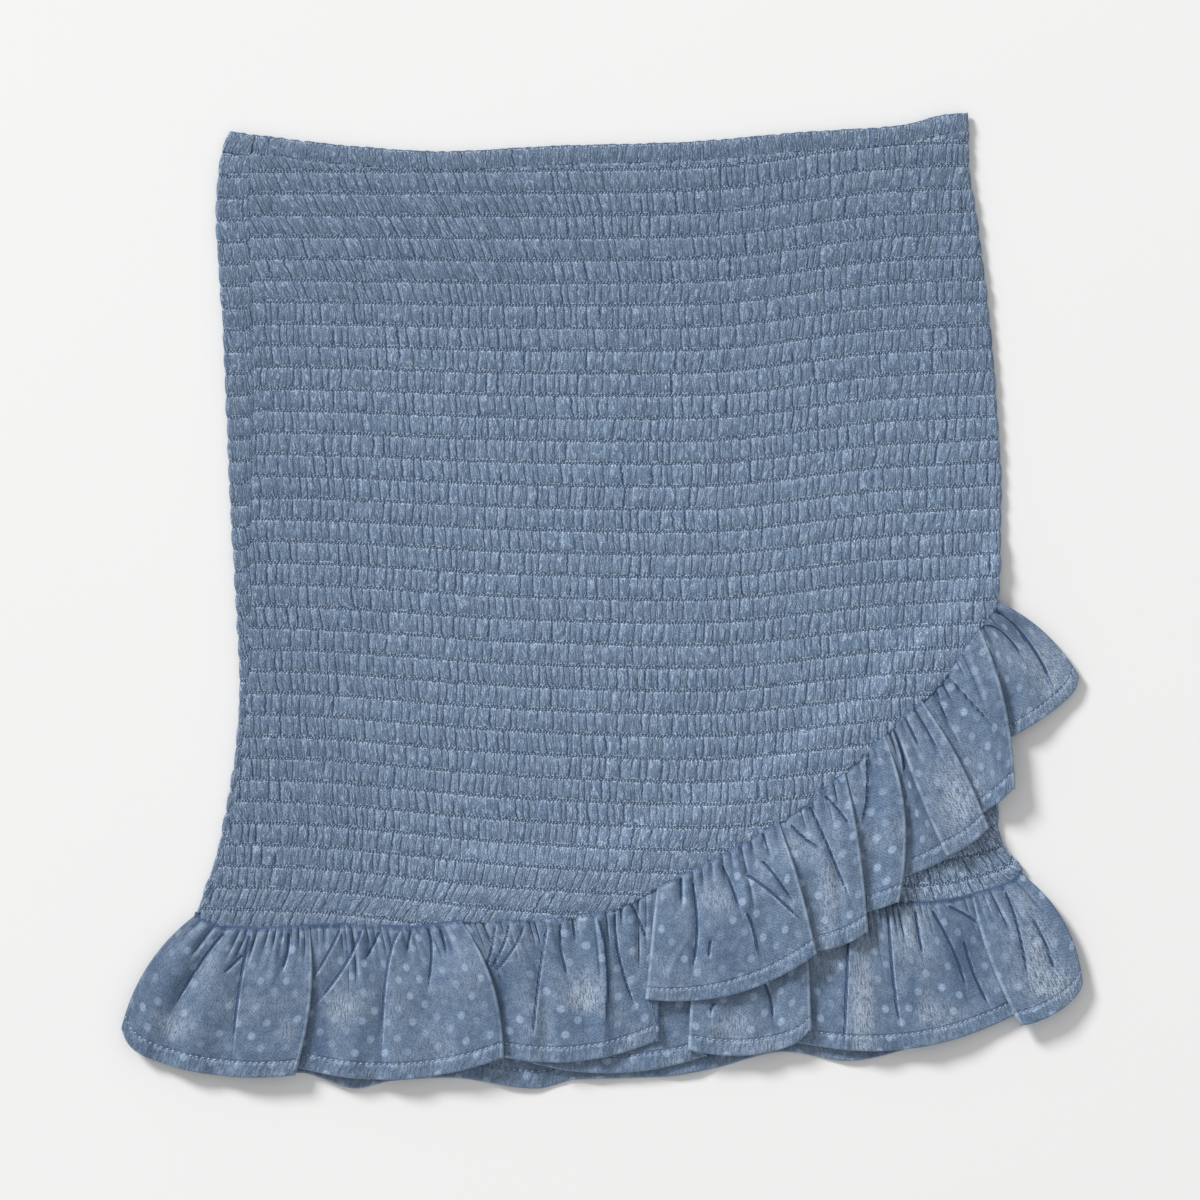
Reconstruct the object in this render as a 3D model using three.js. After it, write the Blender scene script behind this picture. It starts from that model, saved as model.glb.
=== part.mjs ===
// A ruffled mini skirt, laid flat on its back. Millimetres, +Z up, waist towards +Y.
// The shirred back panel lies on the surface and rolls round the left fold onto the front. The wrapped
// front lies on it: a short underlap, then an overlap whose lower edge sweeps up to the right side.
// A gathered ruffle hangs from each of the three lower edges, and one casing goes round the waist.

import * as THREE from 'three';

// ---------------------------------------------------------------- driving sizes
const SHIRRED_WALL = 2.0;       // shirred cloth, with its puckers
const RUFFLE_WALL = 1.0;        // gathered cloth
const SEAM_GAP = 0.3;           // clearance between two pieces that are sewn together
const EDGE_GAP = 0.55;          // the same along a curved edge, whose facets reach into it
const CASING_DEPTH = 9.0;       // turned band at the waist
const UNDERLAP_ABOVE_SEAM = 18; // how far the underlap reaches up behind the overlap's edge
const UNDERLAP_LEFT = -55;      // where the underlap ends behind the overlap
const RAMP = 15;                // the overlap climbs onto the underlap over this distance
const CLIMB_MARGIN = 3;         // and is up this far before it
const TUCK_LENGTH = 4;          // the underlap's side seam slips under the overlap over this length
const TUCK_WIDTH = 2.4;         // its flat edge ends this far short of the fold there
const LAP_LIFT = 3.2;           // height that a folded lap of the ruffle adds at its hem
const LAP_LIFT_SEAM = 2.7;      // and at its gathered edge
const GATHER_DIP = 0.4;         // gathers reach this far below the middle of the panel's edge

const BACK_MID = SHIRRED_WALL / 2;
const FRONT_MID = BACK_MID + SHIRRED_WALL + SEAM_GAP;
const TOP_MID = FRONT_MID + SHIRRED_WALL + SEAM_GAP;
const FOLD_RADIUS = (FRONT_MID - BACK_MID) / 2;
const FOLD_MID = BACK_MID + FOLD_RADIUS;

// Outline of the laid skirt.
const WAIST = [
  { x: -164, y: 206 }, { x: -106, y: 199.3 }, { x: -70, y: 197.2 }, { x: -20, y: 199.6 },
  { x: 35, y: 201.2 },
  { x: 88, y: 205.6 }, { x: 132, y: 208.6 }, { x: 150, y: 213 }, { x: 163, y: 214.4 },
];
const LEFT_FOLD = [
  { y: 206, x: -164 }, { y: 192, x: -168.5 }, { y: 169, x: -169.8 }, { y: 125, x: -167.2 },
  { y: 37, x: -163.2 },
  { y: -37, x: -159.6 }, { y: -68, x: -161.5 }, { y: -95, x: -165.9 }, { y: -112, x: -169.8 },
  { y: -139, x: -179 },
];
const RIGHT_FOLD = [
  { y: 214.4, x: 163 }, { y: 196, x: 163 }, { y: 161, x: 167.6 }, { y: 125, x: 172 }, { y: 90, x: 175.1 },
  { y: 46, x: 177.3 }, { y: 1, x: 176.4 }, { y: -60, x: 175.6 }, { y: -103, x: 176.2 }, { y: -118, x: 187 },
];
// Back cloth that shows on the front, left of the side seam.
const SIDE_STRIP = [
  { y: 206, width: 13 }, { y: 176, width: 15.8 }, { y: 88, width: 13.2 }, { y: 17, width: 8.4 },
  { y: -66, width: 4 }, { y: -140, width: 3.4 },
];

// Lower edges that carry the ruffles.
const OVERLAP_EDGE = [
  { x: -179, y: -137.8 }, { x: -167, y: -143.6 }, { x: -152, y: -144.6 }, { x: -114, y: -142.8 },
  { x: -83, y: -144.1 }, { x: -58, y: -140.8 }, { x: -28, y: -140.4 }, { x: 3, y: -136.4 },
  { x: 22, y: -127.6 },
  { x: 49, y: -114.4 }, { x: 81, y: -95.9 }, { x: 104, y: -78.8 }, { x: 131, y: -53.7 },
  { x: 150, y: -35.6 },
  { x: 163, y: -17.6 }, { x: 172.5, y: -4.8 }, { x: 176.4, y: 1 },
];
const UNDERLAP_EDGE = [
  { x: -60, y: -134.6 }, { x: 60, y: -134.4 }, { x: 132, y: -133.4 }, { x: 148, y: -132.6 },
  { x: 165, y: -129.4 },
  { x: 180, y: -124.1 }, { x: 187, y: -118 },
];
const BACK_EDGE = [
  { x: -179, y: -137.8 }, { x: -154, y: -142 }, { x: -88, y: -142 }, { x: 0, y: -138.6 },
  { x: 70, y: -135.8 },
  { x: 132, y: -133.4 }, { x: 165, y: -129.4 }, { x: 180, y: -124.1 }, { x: 187, y: -118 },
];

// Ruffles, lobe by lobe from left to right. A lobe runs from seamFrom to seamTo along the panel's edge
// and between two points at the hem; sag bows its hem outwards, bowFrom and bowTo bend its side edges.
// restFrom and restTo are the heights that the middle of its cloth rests at. Two lobes meet in a folded
// lap: the one whose gathers end high lies over the one whose gathers start low.
const OVERLAP_LOBES = [
  { name: 'side', seamFrom: -178, seamTo: -128, hemFrom: [-211, -191.6], hemTo: [-135, -208.6], sag: 7,
    bowFrom: -4.5, bowTo: 3.5, restFrom: 3.7, restTo: 3.7 },
  { name: 'left', seamFrom: -128.8, seamTo: -61, hemFrom: [-141, -203], hemTo: [-43.4, -201], sag: 8.6,
    bowFrom: 3.5, bowTo: 5, restFrom: 3.7, restTo: 5 },
  { name: 'middle', seamFrom: -61.8, seamTo: 26, hemFrom: [-50, -199], hemTo: [24.6, -193.6], sag: 6.4,
    bowFrom: 4, bowTo: 0, restFrom: 5, restTo: 5 },
  { name: 'corner', seamFrom: 25.2, seamTo: 78, hemFrom: [21, -175.2], hemTo: [94, -155.4], sag: 7.6,
    bowFrom: 0, bowTo: 1, restFrom: 5, restTo: 8.4 },
  { name: 'step', seamFrom: 77.2, seamTo: 107, hemFrom: [89, -154], hemTo: [116.5, -145.8], sag: 2.6,
    bowFrom: 1, bowTo: 1.4, restFrom: 8.4, restTo: 6.4 },
  { name: 'slip', seamFrom: 106.2, seamTo: 124.6, hemFrom: [110, -138.6], hemTo: [130, -132.6], sag: 0.6,
    bowFrom: 1.4, bowTo: 5.6, restFrom: 6.4, restTo: 5.3 },
  { name: 'hollow', seamFrom: 123.8, seamTo: 130.6, hemFrom: [126.5, -123.4], hemTo: [156.5, -111], sag: 1.4,
    bowFrom: 5, bowTo: -1, restFrom: 5.3, restTo: 5.3 },
  { name: 'pleat', seamFrom: 129.8, seamTo: 141, hemFrom: [153, -112], hemTo: [169.6, -100.6], sag: 1.4,
    bowFrom: -1, bowTo: 2, restFrom: 5.3, restTo: 5.3 },
  { name: 'hip', seamFrom: 140.2, seamTo: 169.4, hemFrom: [163.5, -96], hemTo: [181, -83], sag: 1,
    bowFrom: 2, bowTo: 3.3, restFrom: 5.3, restTo: 5.3 },
  { name: 'wing', seamFrom: 168.6, seamTo: 175.2, hemFrom: [173.5, -64], hemTo: [211.6, -37.6], sag: 4.4,
    bowFrom: 3.3, bowTo: 5.4, restFrom: 5.3, restTo: 1.6 },
];
const UNDERLAP_LOBES = [
  { name: 'hidden', seamFrom: -52, seamTo: 43.4, hemFrom: [-42, -199.6], hemTo: [46, -200.4], sag: 8,
    bowFrom: 0, bowTo: 0, restFrom: 3.7, restTo: 3.7 },
  { name: 'front', seamFrom: 42.6, seamTo: 88, hemFrom: [39.6, -197.6], hemTo: [92, -191.8], sag: 6.4,
    bowFrom: 0, bowTo: 1, restFrom: 3.7, restTo: 3.7 },
  { name: 'broad', seamFrom: 87.2, seamTo: 164.6, hemFrom: [86.5, -192.4], hemTo: [191, -178], sag: 12,
    bowFrom: 1, bowTo: -2.4, restFrom: 3.7, restTo: 3.7 },
  { name: 'flare', seamFrom: 163.8, seamTo: 185, hemFrom: [185.4, -185.4], hemTo: [211.6, -170], sag: 4.4,
    bowFrom: -2.4, bowTo: 4.6, restFrom: 3.7, restTo: 3.7 },
];
// Heights across each lobe, from 0 where it lies low to 1 on top of a lap: its main gathers.
const GATHERS = {
  side: [[0, 0.2], [0.13, 0.6], [0.24, 0.1], [0.4, 0.8], [0.56, 0.35], [0.72, 0.95], [0.86, 1], [1, 1]],
  left: [[0, 0], [0.14, 0], [0.3, 0.75], [0.43, 0.15], [0.5, 0.8], [0.68, 0.45], [0.86, 1], [1, 1]],
  middle: [[0, 0], [0.12, 0], [0.26, 0.6], [0.35, 0.15], [0.42, 0.75], [0.58, 0.4], [0.68, 0.8], [0.75, 0.3],
    [0.92, 0], [1, 0]],
  corner: [[0, 1], [0.12, 1], [0.27, 0.8], [0.42, 0.95], [0.62, 0.75], [0.76, 0.5], [0.88, 1], [1, 1]],
  step: [[0, 0], [0.3, 0], [0.52, 0.6], [0.64, 0.4], [0.74, 1], [1, 1]],
  slip: [[0, 0], [0.42, 0], [0.62, 0.6], [0.8, 1], [1, 1]],
  hollow: [[0, 0], [0.3, 0], [0.55, 0.3], [0.85, 0], [1, 0]],
  pleat: [[0, 1], [0.25, 1], [0.5, 0.7], [0.68, 1], [1, 1]],
  hip: [[0, 0], [0.34, 0], [0.52, 0.5], [0.7, 1], [1, 1]],
  wing: [[0, 0], [0.16, 0], [0.4, 0.6], [0.7, 0.2], [1, 0.4]],
  hidden: [[0, 0], [0.2, 0], [0.4, 0], [0.6, 0], [0.8, 0], [1, 0]],
  front: [[0, 1], [0.16, 1], [0.35, 0.6], [0.5, 0.85], [0.7, 0.5], [0.86, 1], [1, 1]],
  broad: [[0, 0], [0.08, 0], [0.2, 0.3], [0.28, 0.75], [0.41, 0.4], [0.52, 0.8], [0.67, 0.5], [0.8, 0.15],
    [0.92, 0], [1, 0]],
  flare: [[0, 1], [0.25, 1], [0.5, 0.8], [0.8, 0.5], [1, 0.3]],
};
const BACK_HEM = [
  { x: -211, y: -191.4 }, { x: -193, y: -201.6 }, { x: -158, y: -208 }, { x: -132, y: -208 },
  { x: -107, y: -214.7 },
  { x: -92, y: -211.6 }, { x: -68, y: -210 }, { x: -28, y: -214.8 }, { x: -9.6, y: -210.8 },
  { x: 26, y: -209.8 },
  { x: 50, y: -206 }, { x: 81, y: -198.6 }, { x: 108, y: -202.6 }, { x: 141, y: -196 }, { x: 176, y: -185 },
  { x: 211.6, y: -170 },
];
const BACK_WAVES = 11;          // gathers across the back ruffle
const BACK_LOW = 0.5;           // middle of its cloth where it rests
const BACK_HIGH = 2.2;          // and on top of a gather
const BACK_MEETS = 4.1;         // its sides turn up to this height
const BACK_SIDE_BOW = 4.5;      // and bow out by this much
const BACK_SEAM_ENDS = [-176.6, 184.4];
const BACK_HEM_ENDS = [-208.4, 209];

const SHIRRED = { color: 0x6e7f96, roughness: 0.7, metalness: 0 };
const SATIN = { color: 0x74869f, roughness: 0.5, metalness: 0 };

const ROWS_DOWN_RUFFLE = [0, 0.1, 0.22, 0.42, 0.68, 1];
const BEND_STEPS = 3;           // facets in each bend of a folded lap
const SETTLE = 0.45;            // share of a ruffle's depth in which it settles to its resting height
const TURN_IN = 0.25;           // and in which a lap turns from along the seam to square to its edges

// ---------------------------------------------------------------- small tools
const clamp = (value) => Math.min(Math.max(value, 0), 1);
const mix = (a, b, t) => a + (b - a) * t;
const smooth = (value) => {
  const t = clamp(value);
  return t * t * (3 - 2 * t);
};
const fractions = (steps) => Array.from({ length: steps + 1 }, (_, i) => i / steps);

// A curve through a table's rows that never overshoots them (monotone cubic).
function track(table, key, value) {
  const rows = [...table].sort((a, b) => a[key] - b[key]);
  const xs = rows.map((row) => row[key]);
  const ys = rows.map((row) => row[value]);
  const last = xs.length - 1;
  const slopes = xs.slice(1).map((x, i) => (ys[i + 1] - ys[i]) / (x - xs[i]));
  const tangents = xs.map((_, i) => {
    if (i === 0) return slopes[0];
    if (i === last) return slopes[last - 1];
    const [before, after] = [slopes[i - 1], slopes[i]];
    return before * after <= 0 ? 0 : (2 * before * after) / (before + after);
  });
  return (x) => {
    if (x <= xs[0]) return ys[0] + tangents[0] * (x - xs[0]);
    if (x >= xs[last]) return ys[last] + tangents[last] * (x - xs[last]);
    const i = xs.findIndex((edge) => edge > x) - 1;
    const span = xs[i + 1] - xs[i];
    const t = (x - xs[i]) / span;
    const rise = ys[i + 1] - ys[i];
    const bend = t * (1 - t) * ((1 - t) * (span * tangents[i] - rise) - t * (span * tangents[i + 1] - rise));
    return ys[i] + rise * t + bend;
  };
}

const waist = track(WAIST, 'x', 'y');
const leftFold = track(LEFT_FOLD, 'y', 'x');
const rightFold = track(RIGHT_FOLD, 'y', 'x');
const sideStrip = track(SIDE_STRIP, 'y', 'width');
const overlapEdge = track(OVERLAP_EDGE, 'x', 'y');
const underlapEdge = track(UNDERLAP_EDGE, 'x', 'y');
const backEdge = track(BACK_EDGE, 'x', 'y');

// A wall of cloth: the sheet's middle surface, a grid of rows, moved out to both sides along its normals
// and closed round its edges. A ring's last column joins its first. A point may bring its own normal,
// named square, where the facets are too coarse to give it.
function clothWall(name, middle, wall, finish, ring = false) {
  const rows = middle.length;
  const columns = middle[0].length;
  const wrap = (c) => (ring ? (c + columns) % columns : Math.min(Math.max(c, 0), columns - 1));
  const points = [];
  for (const side of [0.5, -0.5]) {
    middle.forEach((line, r) => line.forEach((point, c) => {
      const ahead = line[wrap(c + 1)].clone().sub(point).normalize();
      const behind = point.clone().sub(line[wrap(c - 1)]).normalize();
      const down = middle[Math.min(r + 1, rows - 1)][c].clone().sub(middle[Math.max(r - 1, 0)][c]);
      const normal = down.cross(ahead.add(behind)).normalize();
      if (point.square) normal.copy(point.square);
      points.push(point.clone().addScaledVector(normal, side * wall));
    }));
  }
  const at = (side, r, c) => side * rows * columns + r * columns + wrap(c);
  const faces = [];
  const quad = (a, b, c, d) => faces.push(a, b, c, a, c, d);
  const across = ring ? columns : columns - 1;
  for (let c = 0; c < across; c += 1) {
    for (let r = 0; r < rows - 1; r += 1) {
      quad(at(0, r, c), at(0, r + 1, c), at(0, r + 1, c + 1), at(0, r, c + 1));
      quad(at(1, r, c), at(1, r, c + 1), at(1, r + 1, c + 1), at(1, r + 1, c));
    }
    quad(at(0, 0, c), at(0, 0, c + 1), at(1, 0, c + 1), at(1, 0, c));
    quad(at(0, rows - 1, c), at(1, rows - 1, c), at(1, rows - 1, c + 1), at(0, rows - 1, c + 1));
  }
  for (let r = 0; r < rows - 1 && !ring; r += 1) {
    quad(at(0, r, 0), at(1, r, 0), at(1, r + 1, 0), at(0, r + 1, 0));
    quad(at(0, r, columns - 1), at(0, r + 1, columns - 1), at(1, r + 1, columns - 1), at(1, r, columns - 1));
  }
  const geometry = new THREE.BufferGeometry().setFromPoints(points);
  geometry.setIndex(faces);
  geometry.computeVertexNormals();
  const mesh = new THREE.Mesh(geometry, new THREE.MeshStandardMaterial(finish));
  mesh.name = name;
  return mesh;
}

// Height at which the line x = across(y) crosses an edge y = edge(x). The lines are steep and the edges
// are not, so repeating this settles quickly.
function meet(across, edge) {
  let y = 0;
  for (let i = 0; i < 16; i += 1) y = edge(across(y));
  return y;
}

// A point whose cloth stands square to a direction.
function squarePoint(x, y, z, square) {
  const point = new THREE.Vector3(x, y, z);
  point.square = square;
  return point;
}

// Part of a turn in the X-Z plane, from angle a to angle b in degrees, about a centre. Cloth that turns
// clockwise has its outer face outwards.
function turn(centreX, y, centreZ, radius, a, b, steps) {
  return fractions(steps).map((t) => {
    const angle = THREE.MathUtils.degToRad(mix(a, b, t));
    const spoke = new THREE.Vector3(Math.cos(angle), 0, Math.sin(angle));
    const { x, z } = new THREE.Vector3(centreX, 0, centreZ).addScaledVector(spoke, radius);
    return squarePoint(x, y, z, spoke.multiplyScalar(Math.sign(a - b)));
  });
}

// ---------------------------------------------------------------- shirred panels
const PANEL_ACROSS = 22;
const PANEL_DOWN = 8;
const UNDERLAP_ACROSS = 14;
const FOLD_STEPS = 6;           // facets round a half turn
const TURN_DOWN_STEPS = 2;
const panelTop = (x) => waist(x) - CASING_DEPTH - SEAM_GAP;

// Where the flat cloth ends and the side folds begin.
const foldedLeft = (y) => leftFold(y) + SHIRRED_WALL / 2 + FOLD_RADIUS;
const foldedRight = (y) => rightFold(y) - SHIRRED_WALL / 2 - FOLD_RADIUS;

// The right edge of a front panel, turned down to the side seam.
function turnDown(x, y, z) {
  const end = squarePoint(x + FOLD_RADIUS, y, FOLD_MID + SEAM_GAP, new THREE.Vector3(1, 0, 0));
  return [...turn(x, y, z - FOLD_RADIUS, FOLD_RADIUS, 90, 40, TURN_DOWN_STEPS), end];
}

// How far the overlap has climbed onto the underlap at a place, from 0 to 1.
function climb(x, y) {
  const above = overlapEdge(x) + UNDERLAP_ABOVE_SEAM + CLIMB_MARGIN;
  return smooth((above + RAMP - y) / RAMP) * smooth((x - UNDERLAP_LEFT + CLIMB_MARGIN + RAMP) / RAMP);
}
const overlapMid = (x, y) => mix(FRONT_MID, TOP_MID, climb(x, y));

function backPanel() {
  const rows = fractions(PANEL_DOWN + 2).map((v) => {
    const height = (u) => {
      const across = (y) => mix(foldedLeft(y), foldedRight(y), u);
      return mix(meet(across, panelTop), meet(across, backEdge), v);
    };
    const yLeft = height(0);
    const seam = (y) => leftFold(y) + sideStrip(y);
    const ySeam = mix(meet(seam, panelTop), meet(seam, overlapEdge), v);
    const yRight = height(1);
    return [
      new THREE.Vector3(seam(ySeam), ySeam, FRONT_MID),
      ...turn(foldedLeft(yLeft), yLeft, FOLD_MID, FOLD_RADIUS, 90, 270, FOLD_STEPS),
      ...fractions(PANEL_ACROSS).slice(1, -1).map((u) => {
        const y = height(u);
        return new THREE.Vector3(mix(foldedLeft(y), foldedRight(y), u), y, BACK_MID);
      }),
      ...turn(foldedRight(yRight), yRight, FOLD_MID, FOLD_RADIUS, 270, 360, FOLD_STEPS / 2),
    ];
  });
  return clothWall('back_panel', rows, SHIRRED_WALL, SHIRRED);
}

function frontOverlapPanel() {
  const left = (y) => leftFold(y) + sideStrip(y) + EDGE_GAP;
  // Its lowest rows keep their distance from the edge, so that they show the climb onto the underlap.
  const climbed = UNDERLAP_ABOVE_SEAM + CLIMB_MARGIN;
  const edgeRows = [climbed + RAMP, climbed + RAMP / 2, climbed, UNDERLAP_ABOVE_SEAM / 2, 0];
  const lineAt = (heightOf, nearEdge) => {
    const line = fractions(PANEL_ACROSS).map((u) => {
      const y = heightOf(u);
      const x = mix(left(y), foldedRight(y), u);
      return new THREE.Vector3(x, y, overlapMid(x, y));
    });
    const { x, y, z } = line.pop();
    line.push(...turnDown(x, y, z));
    line.slice(-3).forEach((point) => {
      point.y += nearEdge * (overlapEdge(point.x) - overlapEdge(x));
    });
    return line;
  };
  const reach = (u) => {
    const across = (y) => mix(left(y), foldedRight(y), u);
    return [meet(across, panelTop), meet(across, overlapEdge)];
  };
  const rows = fractions(PANEL_DOWN).slice(0, -1).map((v) => lineAt((u) => {
    const [top, edge] = reach(u);
    return mix(top, edge + edgeRows[0], v);
  }, 0));
  edgeRows.forEach((above, i) => {
    rows.push(lineAt((u) => reach(u)[1] + above, i === edgeRows.length - 1 ? 1 : 0));
  });
  return clothWall('front_overlap_panel', rows, SHIRRED_WALL, SHIRRED);
}

function frontUnderlapPanel() {
  const tuckFrom = overlapEdge(rightFold(0));
  const rows = fractions(PANEL_DOWN).map((v) => {
    const heightAt = (u) => {
      const across = (y) => mix(UNDERLAP_LEFT, foldedRight(y), u);
      const top = meet(across, (x) => overlapEdge(x) + UNDERLAP_ABOVE_SEAM);
      return mix(top, meet(across, underlapEdge), v);
    };
    const line = fractions(UNDERLAP_ACROSS).slice(0, -1).map((u) => {
      const y = heightAt(u);
      return new THREE.Vector3(mix(UNDERLAP_LEFT, foldedRight(y), u), y, FRONT_MID);
    });
    // Its right edge turns down to the side seam, but stays flat and short where the overlap covers it.
    const y = heightAt(1);
    const turned = smooth((tuckFrom - 1 - y) / TUCK_LENGTH);
    turnDown(foldedRight(y), y, FRONT_MID).forEach((point, i, bend) => {
      const x = foldedRight(y) - TUCK_WIDTH * (1 - i / bend.length);
      const flat = squarePoint(x, y, FRONT_MID, new THREE.Vector3(0, 0, 1));
      flat.square.lerp(point.square, turned).normalize();
      line.push(flat.lerp(point, turned));
    });
    return line;
  });
  return clothWall('front_underlap_panel', rows, SHIRRED_WALL, SHIRRED);
}

function waistCasing() {
  const rows = fractions(2).map((v) => {
    const height = (u) => {
      const across = (y) => mix(foldedLeft(y), foldedRight(y), u);
      return meet(across, (x) => waist(x) - CASING_DEPTH * v);
    };
    const flat = (steps, z) => steps.slice(1, -1).map((u) => {
      const y = height(u);
      return new THREE.Vector3(mix(foldedLeft(y), foldedRight(y), u), y, z);
    });
    const steps = fractions(PANEL_ACROSS);
    return [
      ...turn(foldedLeft(height(0)), height(0), FOLD_MID, FOLD_RADIUS, 90, 270, FOLD_STEPS),
      ...flat(steps, BACK_MID),
      ...turn(foldedRight(height(1)), height(1), FOLD_MID, FOLD_RADIUS, 270, 450, FOLD_STEPS),
      ...flat([...steps].reverse(), FRONT_MID),
    ];
  });
  return clothWall('waist_casing', rows, SHIRRED_WALL, SHIRRED, true);
}

// ---------------------------------------------------------------- ruffles
const plan = (from, to) => new THREE.Vector3(to.x - from.x, to.y - from.y, 0);

// The point on a lower edge, moved out by the seam's gap, square to the edge.
function seamPoint(edge, x) {
  const slope = edge(x + 0.5) - edge(x - 0.5);
  const out = new THREE.Vector3(slope, -1, 0).normalize();
  return new THREE.Vector3(x, edge(x), 0).addScaledVector(out, EDGE_GAP);
}

// One point of a lobe: u across it, t from the seam (0) to the hem (1).
function lobePoint(lobe, edge, edgeMid, u, t) {
  const seam = seamPoint(edge, mix(lobe.seamFrom, lobe.seamTo, u));
  const chord = new THREE.Vector3(lobe.hemTo[0] - lobe.hemFrom[0], lobe.hemTo[1] - lobe.hemFrom[1], 0);
  const outward = new THREE.Vector3(chord.y, -chord.x, 0).normalize();
  const hem = new THREE.Vector3(lobe.hemFrom[0], lobe.hemFrom[1], 0).addScaledVector(chord, u)
    .addScaledVector(outward, lobe.sag * 4 * u * (1 - u));
  const down = plan(seam, hem);
  const sideways = new THREE.Vector3(-down.y, down.x, 0).normalize();
  const point = seam.clone().addScaledVector(down, t)
    .addScaledVector(sideways, mix(lobe.bowFrom, lobe.bowTo, u) * 4 * t * (1 - t));
  const rest = mix(lobe.restFrom, lobe.restTo, u);
  const lift = mix(LAP_LIFT_SEAM, LAP_LIFT, smooth(t / SETTLE));
  point.z = mix(edgeMid(seam.x, seam.y) - GATHER_DIP, rest, smooth(t / SETTLE)) + lobe.height(u) * lift;
  return point;
}

// A folded lap between the end of one lobe and the start of the next: a Z in section, with round bends.
// Its second half mirrors the first.
function lap(from, to, heading) {
  const drop = from.z - to.z;
  const down = Math.sign(drop);
  const radius = Math.abs(drop) / 4;
  const first = fractions(BEND_STEPS).map((f) => {
    const [cos, sin] = [Math.cos(Math.PI * f), Math.sin(Math.PI * f)];
    const { x, y } = from.clone().addScaledVector(heading, radius * sin);
    const square = heading.clone().multiplyScalar(down * sin).setZ(cos);
    return squarePoint(x, y, from.z - down * radius * (1 - cos), square);
  });
  const second = first.map((point) => {
    const { x, y, z } = from.clone().add(to).sub(point);
    return squarePoint(x, y, z, point.square);
  });
  return [...first, ...second.reverse()];
}

function ruffle(name, lobes, edge, edgeMid) {
  const shaped = lobes.map((lobe) => {
    const table = GATHERS[lobe.name].map(([at, height]) => ({ at, height }));
    return { ...lobe, height: track(table, 'at', 'height'), stations: table.map((row) => row.at) };
  });
  const rows = ROWS_DOWN_RUFFLE.map((t) => {
    const spot = (lobe, u, at) => lobePoint(lobe, edge, edgeMid, u, at);
    const strips = shaped.map((lobe) => lobe.stations.map((u) => spot(lobe, u, t)));
    return strips.flatMap((strip, i) => {
      const middle = strip.slice(i === 0 ? 0 : 1, i === strips.length - 1 ? undefined : -1);
      if (i === strips.length - 1) return middle;
      // The lap runs along the seam at first, and square to its own edges further down.
      const along = plan(spot(shaped[i], 0.9, 0), spot(shaped[i], 1, 0)).normalize();
      const down = plan(spot(shaped[i], 1, t - 0.05), spot(shaped[i], 1, t + 0.05))
        .add(plan(spot(shaped[i + 1], 0, t - 0.05), spot(shaped[i + 1], 0, t + 0.05)));
      const square = new THREE.Vector3(-down.y, down.x, 0).normalize();
      const heading = along.lerp(square, smooth(t / TURN_IN)).normalize();
      return [...middle, ...lap(strip.at(-1), strips[i + 1][0], heading)];
    });
  });
  return clothWall(name, rows, RUFFLE_WALL, SATIN);
}

function backRuffle() {
  const hem = track(BACK_HEM, 'x', 'y');
  const rows = ROWS_DOWN_RUFFLE.map((t) => {
    const line = fractions(BACK_WAVES * 3).map((u) => {
      const seam = seamPoint(backEdge, mix(...BACK_SEAM_ENDS, u));
      const hemX = mix(...BACK_HEM_ENDS, u);
      const side = 2 * u - 1;
      const x = mix(seam.x, hemX, t) + BACK_SIDE_BOW * side ** 7 * 4 * t * (1 - t);
      const wave = (1 - Math.cos(2 * Math.PI * BACK_WAVES * u)) / 2;
      const flatEnds = smooth((1 - Math.abs(side)) * 15);
      const high = mix(BACK_MID + BACK_LOW, BACK_HIGH, t);
      return new THREE.Vector3(x, mix(seam.y, hem(hemX), t), mix(BACK_LOW, high, wave * flatEnds));
    });
    // Both ends turn up to meet the front ruffles at the side seams.
    const [left, right] = [line[0], line.at(-1)];
    const radius = (mix(FRONT_MID, BACK_MEETS, smooth(t / SETTLE)) - BACK_LOW) / 2;
    line.splice(0, 1, ...turn(left.x, left.y, BACK_LOW + radius, radius, 180, 270, BEND_STEPS));
    line.splice(-1, 1, ...turn(right.x, right.y, BACK_LOW + radius, radius, 270, 360, BEND_STEPS));
    return line;
  });
  return clothWall('back_ruffle', rows, RUFFLE_WALL, SATIN);
}

// ---------------------------------------------------------------- the skirt
const skirt = new THREE.Group();
skirt.add(
  backPanel(),
  frontUnderlapPanel(),
  frontOverlapPanel(),
  waistCasing(),
  backRuffle(),
  ruffle('underlap_ruffle', UNDERLAP_LOBES, underlapEdge, () => FRONT_MID),
  ruffle('overlap_ruffle', OVERLAP_LOBES, overlapEdge, overlapMid),
);

// The origin is under the middle of the skirt's box, on the surface that it lies on.
const box = new THREE.Box3().setFromObject(skirt);
const centre = box.getCenter(new THREE.Vector3());
skirt.children.forEach((mesh) => mesh.geometry.translate(-centre.x, -centre.y, -box.min.z));

export default skirt;
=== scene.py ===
"""Ruffled mini skirt laid flat: shirred satin panels, gathered dotted ruffles and their stitching.

Lengths in the tables and in the shape functions are in millimetres; meshes are written in metres.
X runs along the waist, Y up to the waist and Z up from the surface that the skirt lies on.
"""
import math
from functools import partial

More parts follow.
